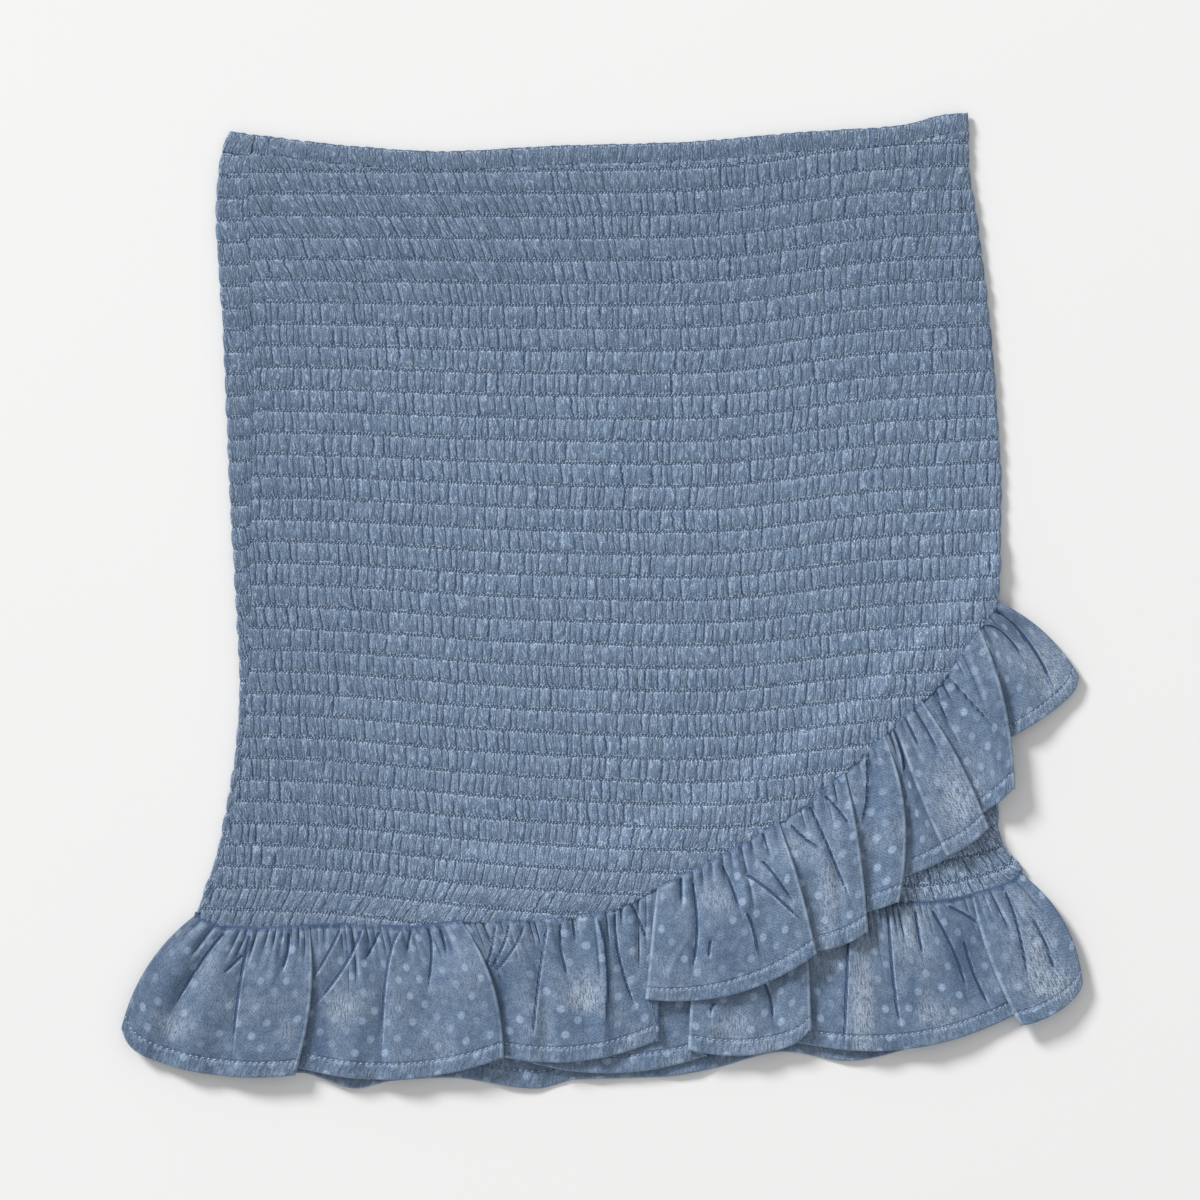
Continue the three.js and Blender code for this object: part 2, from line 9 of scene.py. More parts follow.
import bpy
import numpy as np
from bpy.props import FloatProperty, FloatVectorProperty, PointerProperty
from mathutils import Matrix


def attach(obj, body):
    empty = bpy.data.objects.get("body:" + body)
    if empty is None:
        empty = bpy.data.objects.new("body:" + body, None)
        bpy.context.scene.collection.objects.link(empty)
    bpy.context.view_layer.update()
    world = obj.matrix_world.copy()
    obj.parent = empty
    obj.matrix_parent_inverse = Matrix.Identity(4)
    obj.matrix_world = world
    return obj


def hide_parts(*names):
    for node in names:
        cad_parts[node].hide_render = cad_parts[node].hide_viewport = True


bl_info = {
    "name": "Ruffled Mini Skirt",
    "version": (1, 0, 0),
    "blender": (4, 5, 0),
    "location": "View3D > Sidebar > Skirt",
    "description": "Builds a shirred mini skirt with gathered ruffles, laid flat",
    "category": "Object",
}

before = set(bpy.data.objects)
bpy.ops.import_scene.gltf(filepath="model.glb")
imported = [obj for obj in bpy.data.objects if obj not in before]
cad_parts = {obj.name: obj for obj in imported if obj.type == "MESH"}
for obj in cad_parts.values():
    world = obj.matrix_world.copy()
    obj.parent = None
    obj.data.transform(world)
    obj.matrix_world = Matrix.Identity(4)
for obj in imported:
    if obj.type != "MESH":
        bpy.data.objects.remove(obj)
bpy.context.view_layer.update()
MM = 0.001

# ---------------------------------------------------------------- the laid garment, in mm
EDGE_GAP = 0.55             # between a panel's curved edge and its ruffle
TUCKED_IN = 0.6             # how far a panel reaches under the casing
CASING_DEPTH = 9.0
UNDERLAP_ABOVE_SEAM = 18.0  # how far the underlap reaches up behind the overlap's edge
UNDERLAP_LEFT = -55.0       # and where it ends behind the overlap
UNDERLAP_SHORT = 2.4        # its flat edge ends this far short of the right fold
UNDERLAP_FIRST, UNDERLAP_PITCH = 7.7, 10.0  # from its lower edge to the last stitch line, and between two
WAIST_Y = 205.0             # about where the waist's cloth turns round the folds
RAMP = 15.0                 # the overlap climbs onto the underlap over this distance
CLIMB_MARGIN = 3.0          # and is up this far before it
SEAM_COVER = 1.1            # how far the overlap reaches over its ruffle's seam
RUFFLE_DEPTH = 62.0
BACK_MID, FRONT_MID, TOP_MID = 1.0, 3.3, 5.6  # heights of the middle of the three layers of shirred cloth
SEAM_GAP = 0.3              # between two pieces that are sewn together
FOLD_RADIUS = (FRONT_MID - BACK_MID) / 2
FOLD_MID = BACK_MID + FOLD_RADIUS


def linear(hex_colour):
    """sRGB hex to linear RGB: the low part is divided by 12.92, the rest follows the 2.4 power."""
    srgb = [int(hex_colour[i:i + 2], 16) / 255 for i in (0, 2, 4)]
    return tuple(c / 12.92 if c <= 0.04045 else ((c + 0.055) / 1.055) ** 2.4 for c in srgb)


def mix(a, b, t):
    """From a to b in a straight line, as t goes from 0 to 1."""
    return a + (b - a) * t


def smooth(t):
    """0 below 0, 1 above 1 and an S-curve between."""
    t = np.clip(t, 0, 1)
    return t * t * (3 - 2 * t)


def bell(distance, width):
    """A rounded bump: 1 at the middle, about a third at one width."""
    return np.exp(-(distance / width) ** 2)


def track(table):
    """A curve through rows of (at, value) that never overshoots: cubic pieces whose tangents are the
    harmonic means of the slopes on both sides, and straight lines past the ends."""
    xs, ys = (np.array(column, float) for column in zip(*sorted(table)))
    slopes = np.diff(ys) / np.diff(xs)
    before, after = slopes[:-1], slopes[1:]
    total = np.where(before + after == 0, 1, before + after)
    tangents = np.r_[slopes[0], np.where(before * after > 0, 2 * before * after / total, 0), slopes[-1]]

    def value(x):
        """The straight rise of a span, bent to meet its two tangents, and what lies past the ends."""
        x = np.asarray(x, float)
        i = np.clip(np.searchsorted(xs, x, side="right") - 1, 0, len(xs) - 2)
        span = xs[i + 1] - xs[i]
        t = np.clip((x - xs[i]) / span, 0, 1)
        rise = ys[i + 1] - ys[i]
        bend = t * (1 - t) * ((1 - t) * (span * tangents[i] - rise) - t * (span * tangents[i + 1] - rise))
        past = np.minimum(x - xs[0], 0) * tangents[0] + np.maximum(x - xs[-1], 0) * tangents[-1]
        return ys[i] + rise * t + bend + past

    return value


# x, y of the folded top edge of the waist
waist = track([(-164, 206), (-106, 199.3), (-70, 197.2), (-20, 199.6), (35, 201.2), (88, 205.6), (132, 208.6),
               (150, 213), (163, 214.4)])
# y, x of the two side folds, and y, width of the back cloth that shows left of the side seam
left_fold = track([(206, -164), (192, -168.5), (169, -169.8), (125, -167.2), (37, -163.2), (-37, -159.6),
                   (-68, -161.5), (-95, -165.9), (-112, -169.8), (-139, -179)])
right_fold = track([(214.4, 163), (196, 163), (161, 167.6), (125, 172), (90, 175.1), (46, 177.3), (1, 176.4),
                    (-60, 175.6), (-103, 176.2), (-118, 187)])
side_strip = track([(206, 13), (176, 15.8), (88, 13.2), (17, 8.4), (-66, 4), (-140, 3.4)])
# x, y of the lower edges that carry the ruffles, and of the back ruffle's hem
overlap_edge = track([(-179, -137.8), (-167, -143.6), (-152, -144.6), (-114, -142.8), (-83, -144.1), (-58, -140.8),
                      (-28, -140.4), (3, -136.4), (22, -127.6), (49, -114.4), (81, -95.9), (104, -78.8),
                      (131, -53.7), (150, -35.6), (163, -17.6), (172.5, -4.8), (176.4, 1)])
underlap_edge = track([(-60, -134.6), (60, -134.4), (132, -133.4), (148, -132.6), (165, -129.4), (180, -124.1),
                       (187, -118)])
back_edge = track([(-179, -137.8), (-154, -142), (-88, -142), (0, -138.6), (70, -135.8), (132, -133.4),
                   (165, -129.4), (180, -124.1), (187, -118)])
back_hem = track([(-211, -186), (-204, -193.6), (-193, -200.6), (-158, -208), (-132, -208), (-107, -214.7),
                  (-92, -211.6), (-68, -210), (-28, -214.8), (-9.6, -210.8), (26, -209.8), (50, -206), (81, -198.6),
                  (108, -202.6), (141, -196), (176, -185), (211.6, -170)])
# x, y of the first line of shirring on each side, and x, step to each line below it
front_first = track([(-176, 188.2), (-132, 188.3), (-44, 188.5), (0, 189), (44, 190.1), (132, 200.2), (154, 200.9),
                     (180, 201.2)])
front_pitch = track([(-176, 9.52), (-132, 9.56), (-44, 9.82), (44, 10.0), (132, 10.1), (180, 10.02)])
back_first = track([(-185, 186.1), (-160, 186.1), (-44, 188.2), (44, 190.4), (132, 199.6), (180, 201)])
back_pitch = track([(-185, 9.6), (-44, 9.8), (180, 10.0)])
# x, lean of the overlap's pleats in degrees, positive to the right going down, high and low on it
lean_top = track([(-170, 20), (-120, 24), (-60, 22), (0, 9), (80, 0), (170, -4)])
lean_low = track([(-170, -22), (-110, -28), (-20, -28), (30, -14), (60, -3), (170, 4)])


def panel_top(x):
    """The panels' cloth reaches a little way under the casing's lower edge."""
    return waist(x) - CASING_DEPTH + TUCKED_IN


def folded_left(y):
    """x where the left fold begins: its outline, moved in by half the cloth and by the fold's radius."""
    return left_fold(y) + BACK_MID + FOLD_RADIUS


def folded_right(y):
    """x where the right fold begins, in the same way."""
    return right_fold(y) - BACK_MID - FOLD_RADIUS


def overlap_mid(x, y):
    """Height of the middle of the overlap's cloth: it climbs onto the underlap near its lower edge."""
    above = overlap_edge(x) + UNDERLAP_ABOVE_SEAM + CLIMB_MARGIN
    climb = smooth((above + RAMP - y) / RAMP) * smooth((x - UNDERLAP_LEFT + CLIMB_MARGIN + RAMP) / RAMP)
    return mix(FRONT_MID, TOP_MID, climb)


# ---------------------------------------------------------------- meshes
def unit(vectors):
    """Vectors divided by their own lengths."""
    return vectors / np.maximum(np.linalg.norm(vectors, axis=-1, keepdims=True), 1e-9)


def ripples(x, y, seed, size, waves=7, lengths=(12, 34)):
    """Low unevenness of laid cloth: a sum of a few waves in random directions."""
    rng = np.random.default_rng(seed)
    total = np.zeros(np.broadcast(x, y).shape)
    for _ in range(waves):
        heading, length, start = rng.uniform(0, np.pi), rng.uniform(*lengths), rng.uniform(0, 2 * np.pi)
        total += np.sin(2 * np.pi * (x * np.cos(heading) + y * np.sin(heading)) / length + start)
    return size * total / waves ** 0.5


def quads(index):
    """Faces between the rows and columns of a grid of vertex numbers, facing along its normals."""
    return np.stack([index[:-1, :-1], index[1:, :-1], index[1:, 1:], index[:-1, 1:]], -1).reshape(-1, 4)


def add_object(name, points, faces, material, layers=None, flat=0):
    """Makes a smooth-shaded object of points in mm and of face arrays, each (count, corners); the last
    flat faces are shaded flat. layers maps the name of each UV map to its (count, corners, 2) arrays."""
    used, index = np.unique(np.concatenate([f.ravel() for f in faces]), return_inverse=True)
    sizes = np.concatenate([np.full(len(f), f.shape[1]) for f in faces])
    mesh = bpy.data.meshes.new(name)
    mesh.vertices.add(len(used))
    mesh.vertices.foreach_set("co", (points[used] * MM).astype(np.float32).ravel())
    mesh.loops.add(int(sizes.sum()))
    mesh.loops.foreach_set("vertex_index", index.ravel().astype(np.int32))
    mesh.polygons.add(len(sizes))
    mesh.polygons.foreach_set("loop_start", np.r_[0, np.cumsum(sizes)[:-1]].astype(np.int32))
    mesh.polygons.foreach_set("use_smooth", np.arange(len(sizes)) < len(sizes) - flat)
    mesh.update(calc_edges=True)
    for layer, corners in (layers or {}).items():
        uv = mesh.uv_layers.new(name=layer)
        uv.data.foreach_set("uv", np.concatenate([c.reshape(-1, 2) for c in corners]).astype(np.float32).ravel())
    if mesh.validate():
        raise RuntimeError(f"{name}: its mesh is not sound")
    mesh.materials.append(material)
    made = bpy.data.objects.new(name, mesh)
    bpy.context.scene.collection.objects.link(made)
    return made


def stitches(line, normals, length, gap, lift, slant):
    """Stitches along a line of points: each is a slim six-cornered bead, as long as a stitch, that lies on
    the cloth. slant turns every bead a little in the cloth's plane, as a lockstitch does."""
    steps = np.r_[0, np.cumsum(np.linalg.norm(np.diff(line, axis=0), axis=1))]
    count = int(steps[-1] // (length + gap))
    centre = (np.arange(count) + 0.5) * (length + gap)

    def at(distance, values):
        """The values at distances along the line, in proportion between its points."""
        return np.stack([np.interp(distance, steps, values[:, i]) for i in range(3)], -1)

    up = unit(at(centre, normals))
    start, end = at(centre - length / 2, line), at(centre + length / 2, line)
    side = unit(np.cross(up, end - start)) * THREAD / 2
    middle = (start + end) / 2 + up * lift
    corners = np.stack([start - side * slant, middle - side, middle + up * THREAD / 2, middle + side,
                        middle - up * THREAD / 2, end + side * slant], 1)
    ring = np.array([[0, 1, 2], [0, 2, 3], [0, 3, 4], [0, 4, 1], [5, 2, 1], [5, 3, 2], [5, 4, 3], [5, 1, 4]])
    faces = (ring[None] + 6 * np.arange(count)[:, None, None]).reshape(-1, 3)
    return corners.reshape(-1, 3), faces


# ---------------------------------------------------------------- shirring
THREAD = 0.6                                  # thickness of a stitch
SUB_ROWS = np.array([0, 0.12, 0.36, 0.64, 0.88])  # stations in a row, from one stitch line to the next
ROW_START, ROW_SPAN = -215, 750               # where each row's creases start, and over what length they are drawn
HELD_SHARE = 0.45                             # height of the pleats where a seam holds them down
SHORTEST_RUN = 6                              # columns that a line of stitches needs


def pleats(row, x, v, lean, spacing, seed):
    """The pleats of one row of shirring. Creases stand at random steps along the row, and each wanders
    between the row's two stitch lines: its place is a parabola through a top, middle and bottom one.
    Returns how many creases lie left of each point, its share of the way to the next one, how open the
    creases on both sides are there, and the pleat's height."""
    rng = np.random.default_rng(seed * 1000 + row)
    count = int(ROW_SPAN / spacing * 1.5)
    top = np.cumsum(rng.gamma(6, spacing / 6, count) + 0.25 * spacing) / 1.25 + ROW_START
    spots = [top, top + rng.normal(0, 0.45, count), top + rng.normal(0, 0.5, count)]
    at = x - lean * (v - 0.5)
    a, b, c = (np.interp(at, np.sort(spot), np.arange(count)) for spot in spots)
    phase = (1 - v) ** 2 * a + 2 * v * (1 - v) * b + v ** 2 * c
    strength = np.clip(rng.normal(0.8, 0.3, count), 0.15, 1.1)
    start = np.where(rng.random(count) < 0.22, rng.uniform(0, 0.6, count), -0.3)
    end = np.where(rng.random(count) < 0.22, rng.uniform(0.4, 1, count), 1.3)
    height = np.clip(rng.normal(1, 0.2, count), 0.5, 1.35)
    left = np.clip(np.floor(phase).astype(int), 0, count - 2)

    def open_at(i):
        """A crease's strength, which rises over a quarter of the row from its start and falls to its end."""
        return strength[i] * smooth((v - start[i]) / 0.25) * smooth((end[i] - v) / 0.25)

    return phase, phase - left, open_at(left), open_at(left + 1), height[left]


def shirred(x, s, row, sizes, lean, seed, spacing):
    """Height in mm of shirred cloth over its stitch lines at x, and s rows down. Between two lines it puffs
    up as a flattened arch, cut by the creases, which are narrow troughs with rounded pleats between them.
    Also returns the crease phase, how open the nearer crease is and the pleat's own height."""
    v = np.clip(s - row, 0, 1)
    phase, f, left, right, height = pleats(row, x, v, lean, spacing, seed)
    puff = np.sin(np.pi * v) ** 0.6
    troughs = left * bell(f, 0.16) + right * bell(1 - f, 0.16)
    ridge = (0.86 + 0.14 * np.sin(np.pi * f)) * height - 0.9 * troughs
    return sizes.puff / MM * puff * ridge, phase, np.where(f < 0.5, left, right), height


def eased(count):
    """Shares from 0 to 1 that are closer together near both ends."""
    return (1 - np.cos(np.linspace(0, np.pi, count))) / 2


def corner_values(*pairs):
    """Two values at the four corners of every quad of a grid. Each comes as the values at the upper and at
    the lower side of its strips, which may differ where two strips meet."""
    at = [np.stack([upper[:, :-1], lower[:, :-1], lower[:, 1:], upper[:, 1:]], -1) for upper, lower in pairs]
    return np.stack(at, -1).reshape(-1, 4, 2)


class Shirring:
    """A shirred panel. Its grid's rows follow the stitch lines and its columns run down the cloth. across(u, y)
    gives the measure q along the cloth, place(q, y, height) puts a point in space, first and pitch give the
    first stitch line and the step to the next, top and bottom the cut edges, and lean that of the pleats."""

    def __init__(self, columns, rows, across, first, pitch, top, bottom, place, lean, seed, spacing, sizes,
                 flip=False, inner_rows=eased(20), dips=False, tone=1.0):
        u, rows = np.linspace(0, 1, columns), range(*rows)
        self.rows_at = np.r_[np.add.outer(rows, SUB_ROWS).ravel(), rows.stop]
        self.place, self.sizes = place, sizes

        def meet(edge):
            """y where each column meets a cut edge, found by repeating, plus the edge's small unevenness."""
            y = np.zeros(columns)
            for _ in range(16):
                y = edge(across(u, y))
            return y + ripples(across(u, y), 0.0, seed, 0.25, 5, (2.4, 6.0))

        def row_of(y):
            """How many steps below the first stitch line y is."""
            return (first(across(u, y)) - y) / pitch(across(u, y))

        y_top, y_bottom = meet(top), meet(bottom)
        s_top, s_bottom = row_of(y_top), row_of(y_bottom)
        s = np.clip(self.rows_at[:, None], s_top, s_bottom)
        y = np.zeros(s.shape)
        for _ in range(8):
            x = across(u, y)
            y = first(x) - s * pitch(x)
        x = across(u, y)
        self.x, self.y = x, y
        strips = []
        for i, row in enumerate(rows):
            part = slice(i * len(SUB_ROWS), (i + 1) * len(SUB_ROWS) + 1)
            strips.append(np.stack(shirred(x[part], s[part], row, sizes, lean(x[part], row), seed, spacing)))
        upper = np.concatenate([strip[:, :-1] for strip in strips], 1)
        lower = np.concatenate([strip[:, 1:] for strip in strips], 1)
        height = np.vstack([upper[0], lower[0][-1:]])
        # A seam holds the cloth down where the panel ends between two stitch lines, and dips at its first column.
        held = smooth(np.minimum(s - s_top, s_bottom - s) / 0.3)
        beside = smooth((x - x[:, :1]) / 1.6)
        height = height * mix(HELD_SHARE, 1, held) * mix(HELD_SHARE if dips else 1, 1, beside)
        self.outer = place(x, y, height - sizes.pinch / MM)
        edge_y = mix(y_top, y_bottom, inner_rows[:, None])
        inner = place(across(u, edge_y), edge_y, -sizes.lining / MM)
        self.points = np.concatenate([self.outer.reshape(-1, 3), inner.reshape(-1, 3)])

        # A column's vertices beyond its ends are merged into them, so the grid follows the cut edges.
        self.first_row = np.maximum((self.rows_at[:, None] <= s_top).sum(0) - 1, 0)
        self.last_row = np.minimum((self.rows_at[:, None] < s_bottom).sum(0), len(self.rows_at) - 1)
        index = np.clip(np.arange(len(self.rows_at))[:, None], self.first_row, self.last_row)
        index = index * columns + np.arange(columns)
        corners = quads(index)
        # marks carries how open each crease is and the pleat's height times tone, from which the material paints the
        # creases' shade lines, a painted glint on high pleats and painted shade on low ones.
        values = {"folds": corner_values((upper[1], lower[1]), (s[:-1], s[1:])),
                  "marks": corner_values((upper[2], lower[2]), (upper[3] * tone, lower[3] * tone)),
                  "cloth": corner_values((x[:-1], x[1:]), (y[:-1], y[1:]))}
        merged = corners == np.roll(corners, -1, axis=1)
        shapes = [(merged.sum(1) == 0, range(4))]
        shapes += [((merged.sum(1) == 1) & merged[:, i], np.delete(range(4), i)) for i in range(4)]
        self.faces = [corners[mask][:, kept] for mask, kept in shapes]
        self.layers = {name: [value[mask][:, kept] for mask, kept in shapes] for name, value in values.items()}

        # The inner side, and the walls that close the four edges. They show no pleats of their own.
        number = index.size + np.arange(inner[..., 0].size).reshape(inner.shape[:2])
        rest = [quads(np.stack([number[0], index[0]])), quads(np.stack([index[-1], number[-1]])),
                quads(number)[:, ::-1]]
        for column, turn in ((0, 1), (-1, -1)):
            rim = index[self.first_row[column]:self.last_row[column] + 1, column]
            wall = number[:, column]
            nearest = np.abs(self.points[rim, 1][:, None] - edge_y[:, column]).argmin(0)
            nearest[0], nearest[-1] = 0, len(rim) - 1
            for j in range(len(inner_rows) - 1):
                ring = np.r_[rim[nearest[j]:nearest[j + 1] + 1][::-1], wall[j], wall[j + 1]]
                rest.append(ring[::turn][None])
        self.flat = sum(len(faces) for faces in rest)
        for faces in rest:
            self.faces.append(faces)
            at = self.points[faces][..., :2]
            for name, plain in (("folds", (0.5, 0.5)), ("marks", (0.0, 1.0)), ("cloth", at)):
                self.layers[name].append(at * 0 + plain)
        if flip:
            self.faces = [f[:, ::-1] for f in self.faces]
            self.layers = {k: [c[:, ::-1] for c in v] for k, v in self.layers.items()}

    def build(self, name, material):
        """The panel as one object."""
        return add_object(name, self.points, self.faces, material, self.layers, self.flat)

    def sewn(self):
        """Stitches of the elastic thread along the stitch lines, where the cloth has them."""
        points, faces, count = [], [], 0
        for r in range(0, len(self.rows_at), len(SUB_ROWS)):
            inside = np.flatnonzero((self.first_row < r) & (self.last_row > r))
            for run in np.split(inside, np.flatnonzero(np.diff(inside) > 1) + 1):
                if len(run) < SHORTEST_RUN:
                    continue
                q, y = self.x[r, run], self.y[r, run]
                normals = unit(self.place(q, y, 1.0) - self.place(q, y, 0.0))
                made, ring = stitches(self.outer[r, run], normals, self.sizes.shirring_stitch / MM, 0.5, 0.3, 0.5)
                points.append(made)
                faces.append(ring + count)
                count += len(made)
        return np.concatenate(points), np.concatenate(faces)


def turn_down(q, y, middle, height, fold):
    """Cloth that lies flat up to a fold line, follows a quarter circle and then drops straight. q is the
    distance along the cloth, height the distance out from its middle."""
    past = np.maximum(q - fold, 0)
    angle = np.minimum(past / FOLD_RADIUS, np.pi / 2)
    drop = np.maximum(past - FOLD_RADIUS * np.pi / 2, 0)
    x = np.minimum(q, fold) + (FOLD_RADIUS + height) * np.sin(angle)
    z = middle - FOLD_RADIUS + (FOLD_RADIUS + height) * np.cos(angle) - drop
    return np.stack(np.broadcast_arrays(x, y, z), -1)


def turn_length(middle):
    """Cloth between a front panel's fold line and its side seam."""
    return FOLD_RADIUS * np.pi / 2 + middle - FOLD_RADIUS - FOLD_MID - SEAM_GAP


def wrap(q, y, height):
    """Cloth that goes round the whole skirt: x runs along the back, half circles go round both folds and
    the rest lies on the front. q is x on the back and keeps counting along the cloth past the folds. The
    back's pleats are higher, and the surface presses them flat."""
    left, right = folded_left(y), folded_right(y)
    on_back = smooth(np.minimum(q - left, right - q) / 6)
    height = np.where(height > 0, height * (1 + 0.8 * on_back), height)
    height = np.where(on_back > 0, np.minimum(height, BACK_MID), height)
    half_turn = np.pi * FOLD_RADIUS
    a = np.clip((left - q) / FOLD_RADIUS, 0, np.pi)
    b = np.clip((q - right) / FOLD_RADIUS, 0, np.pi)
    reach = FOLD_RADIUS + height
    x = np.clip(q, left, right) + reach * (np.sin(b) - np.sin(a))
    x += np.maximum(left - half_turn - q, 0) - np.maximum(q - right - half_turn, 0)
    z = FOLD_MID - reach * np.cos(a) * np.cos(b)
    return np.stack(np.broadcast_arrays(x, y, z), -1)


def wrap_start(y):
    """Where cloth that wraps round the left fold ends on the front, and how far past the fold that is."""
    strip = left_fold(y) + side_strip(y) - folded_left(y)
    return folded_left(y) - np.pi * FOLD_RADIUS - strip, strip


# ---------------------------------------------------------------- ruffles
class Lobe:
    """One lobe of a ruffle: where it is sewn on, its hem's two ends, how far the hem sags outwards, how its
    side edges bow, the heights it rests at, (share across, height) of its gathers, and how far each corner
    of the hem is drawn in, which rounds it."""

    def __init__(self, name, seam, hem_from, hem_to, sag, bow, rest, heights, corners=(0, 0)):
        self.name, self.seam, self.sag, self.bow, self.rest = name, seam, sag, bow, rest
        self.corners = corners
        self.hem_from, self.hem_to = np.array(hem_from, float), np.array(hem_to, float)
        self.height = track(heights)
        self.width = np.linalg.norm(self.hem_to - self.hem_from)
        self.on_top = heights[0][1] > 0.5, heights[-1][1] > 0.5


OVERLAP_LOBES = [
    Lobe("side", (-178, -128), (-211.5, -196), (-135, -208.6), 5.6, (-5.2, 3.5), (3.7, 3.7),
         [(0, 0.2), (0.13, 0.6), (0.24, 0.1), (0.4, 0.8), (0.56, 0.35), (0.72, 0.95), (0.86, 1), (1, 1)], (8, 0)),
    Lobe("left", (-128.8, -61), (-141, -203), (-43.4, -201), 8.6, (3.5, 5), (3.7, 5),
         [(0, 0), (0.14, 0), (0.3, 0.75), (0.43, 0.15), (0.5, 0.8), (0.68, 0.45), (0.86, 1), (1, 1)]),
    Lobe("middle", (-61.8, 26), (-50, -199), (24.6, -193.6), 6.4, (4, 0), (5, 5),
         [(0, 0), (0.12, 0), (0.26, 0.6), (0.35, 0.15), (0.42, 0.75), (0.58, 0.4), (0.68, 0.8), (0.75, 0.3),
          (0.92, 0), (1, 0)]),
    Lobe("corner", (25.2, 78), (21, -175.2), (94, -155.4), 7.6, (0, 1), (5, 8.4),
         [(0, 1), (0.12, 1), (0.27, 0.8), (0.42, 0.95), (0.62, 0.75), (0.76, 0.5), (0.88, 1), (1, 1)]),
    Lobe("step", (77.2, 107), (89, -154), (116.5, -145.8), 2.6, (1, 1.4), (8.4, 6.4),
         [(0, 0), (0.3, 0), (0.52, 0.6), (0.64, 0.4), (0.74, 1), (1, 1)]),
    Lobe("slip", (106.2, 124.6), (110, -138.6), (130, -132.6), 0.6, (1.4, 5.6), (6.4, 5.3),
         [(0, 0), (0.42, 0), (0.62, 0.6), (0.8, 1), (1, 1)]),
    Lobe("hollow", (123.8, 130.6), (126.5, -123.4), (156.5, -111), 1.4, (5, -1), (5.3, 5.3),
         [(0, 0), (0.3, 0), (0.55, 0.3), (0.85, 0), (1, 0)]),
    Lobe("pleat", (129.8, 141), (153, -112), (169.6, -100.6), 1.4, (-1, 2), (5.3, 5.3),
         [(0, 1), (0.25, 1), (0.5, 0.7), (0.68, 1), (1, 1)]),
    Lobe("hip", (140.2, 166.4), (163.5, -96), (181, -83), 1, (2, 3.3), (5.3, 5.3),
         [(0, 0), (0.34, 0), (0.52, 0.5), (0.7, 1), (1, 1)]),
    Lobe("wing", (165.6, 175.2), (173.5, -64), (213.2, -37.6), 1.6, (3.3, 3.8), (5.3, 1.6),
         [(0, 0), (0.16, 0), (0.4, 0.6), (0.7, 0.2), (1, 0.4)], (0, 5)),
]
UNDERLAP_LOBES = [
    Lobe("hidden", (-52, 43.4), (-42, -199.6), (46, -200.4), 8, (0, 0), (3.7, 3.7), [(0, 0), (0.5, 0), (1, 0)]),
    Lobe("front", (42.6, 88), (39.6, -197.6), (92, -192.8), 4.6, (0, 1), (3.7, 3.7),
         [(0, 1), (0.16, 1), (0.35, 0.6), (0.5, 0.85), (0.7, 0.5), (0.86, 1), (1, 1)], (0, 4)),
    Lobe("broad", (87.2, 164.6), (86.5, -194.4), (191, -177.4), 10.6, (1, -2.4), (3.7, 3.7),
         [(0, 0), (0.08, 0), (0.2, 0.3), (0.28, 0.75), (0.41, 0.4), (0.52, 0.8), (0.67, 0.5), (0.8, 0.15),
          (0.92, 0), (1, 0)]),
    Lobe("flare", (163.8, 185), (186.2, -187.4), (213.5, -171), 2, (-2.4, 6), (3.7, 3.7),
         [(0, 1), (0.25, 1), (0.5, 0.8), (0.8, 0.5), (1, 0.3)], (1, 3)),
]
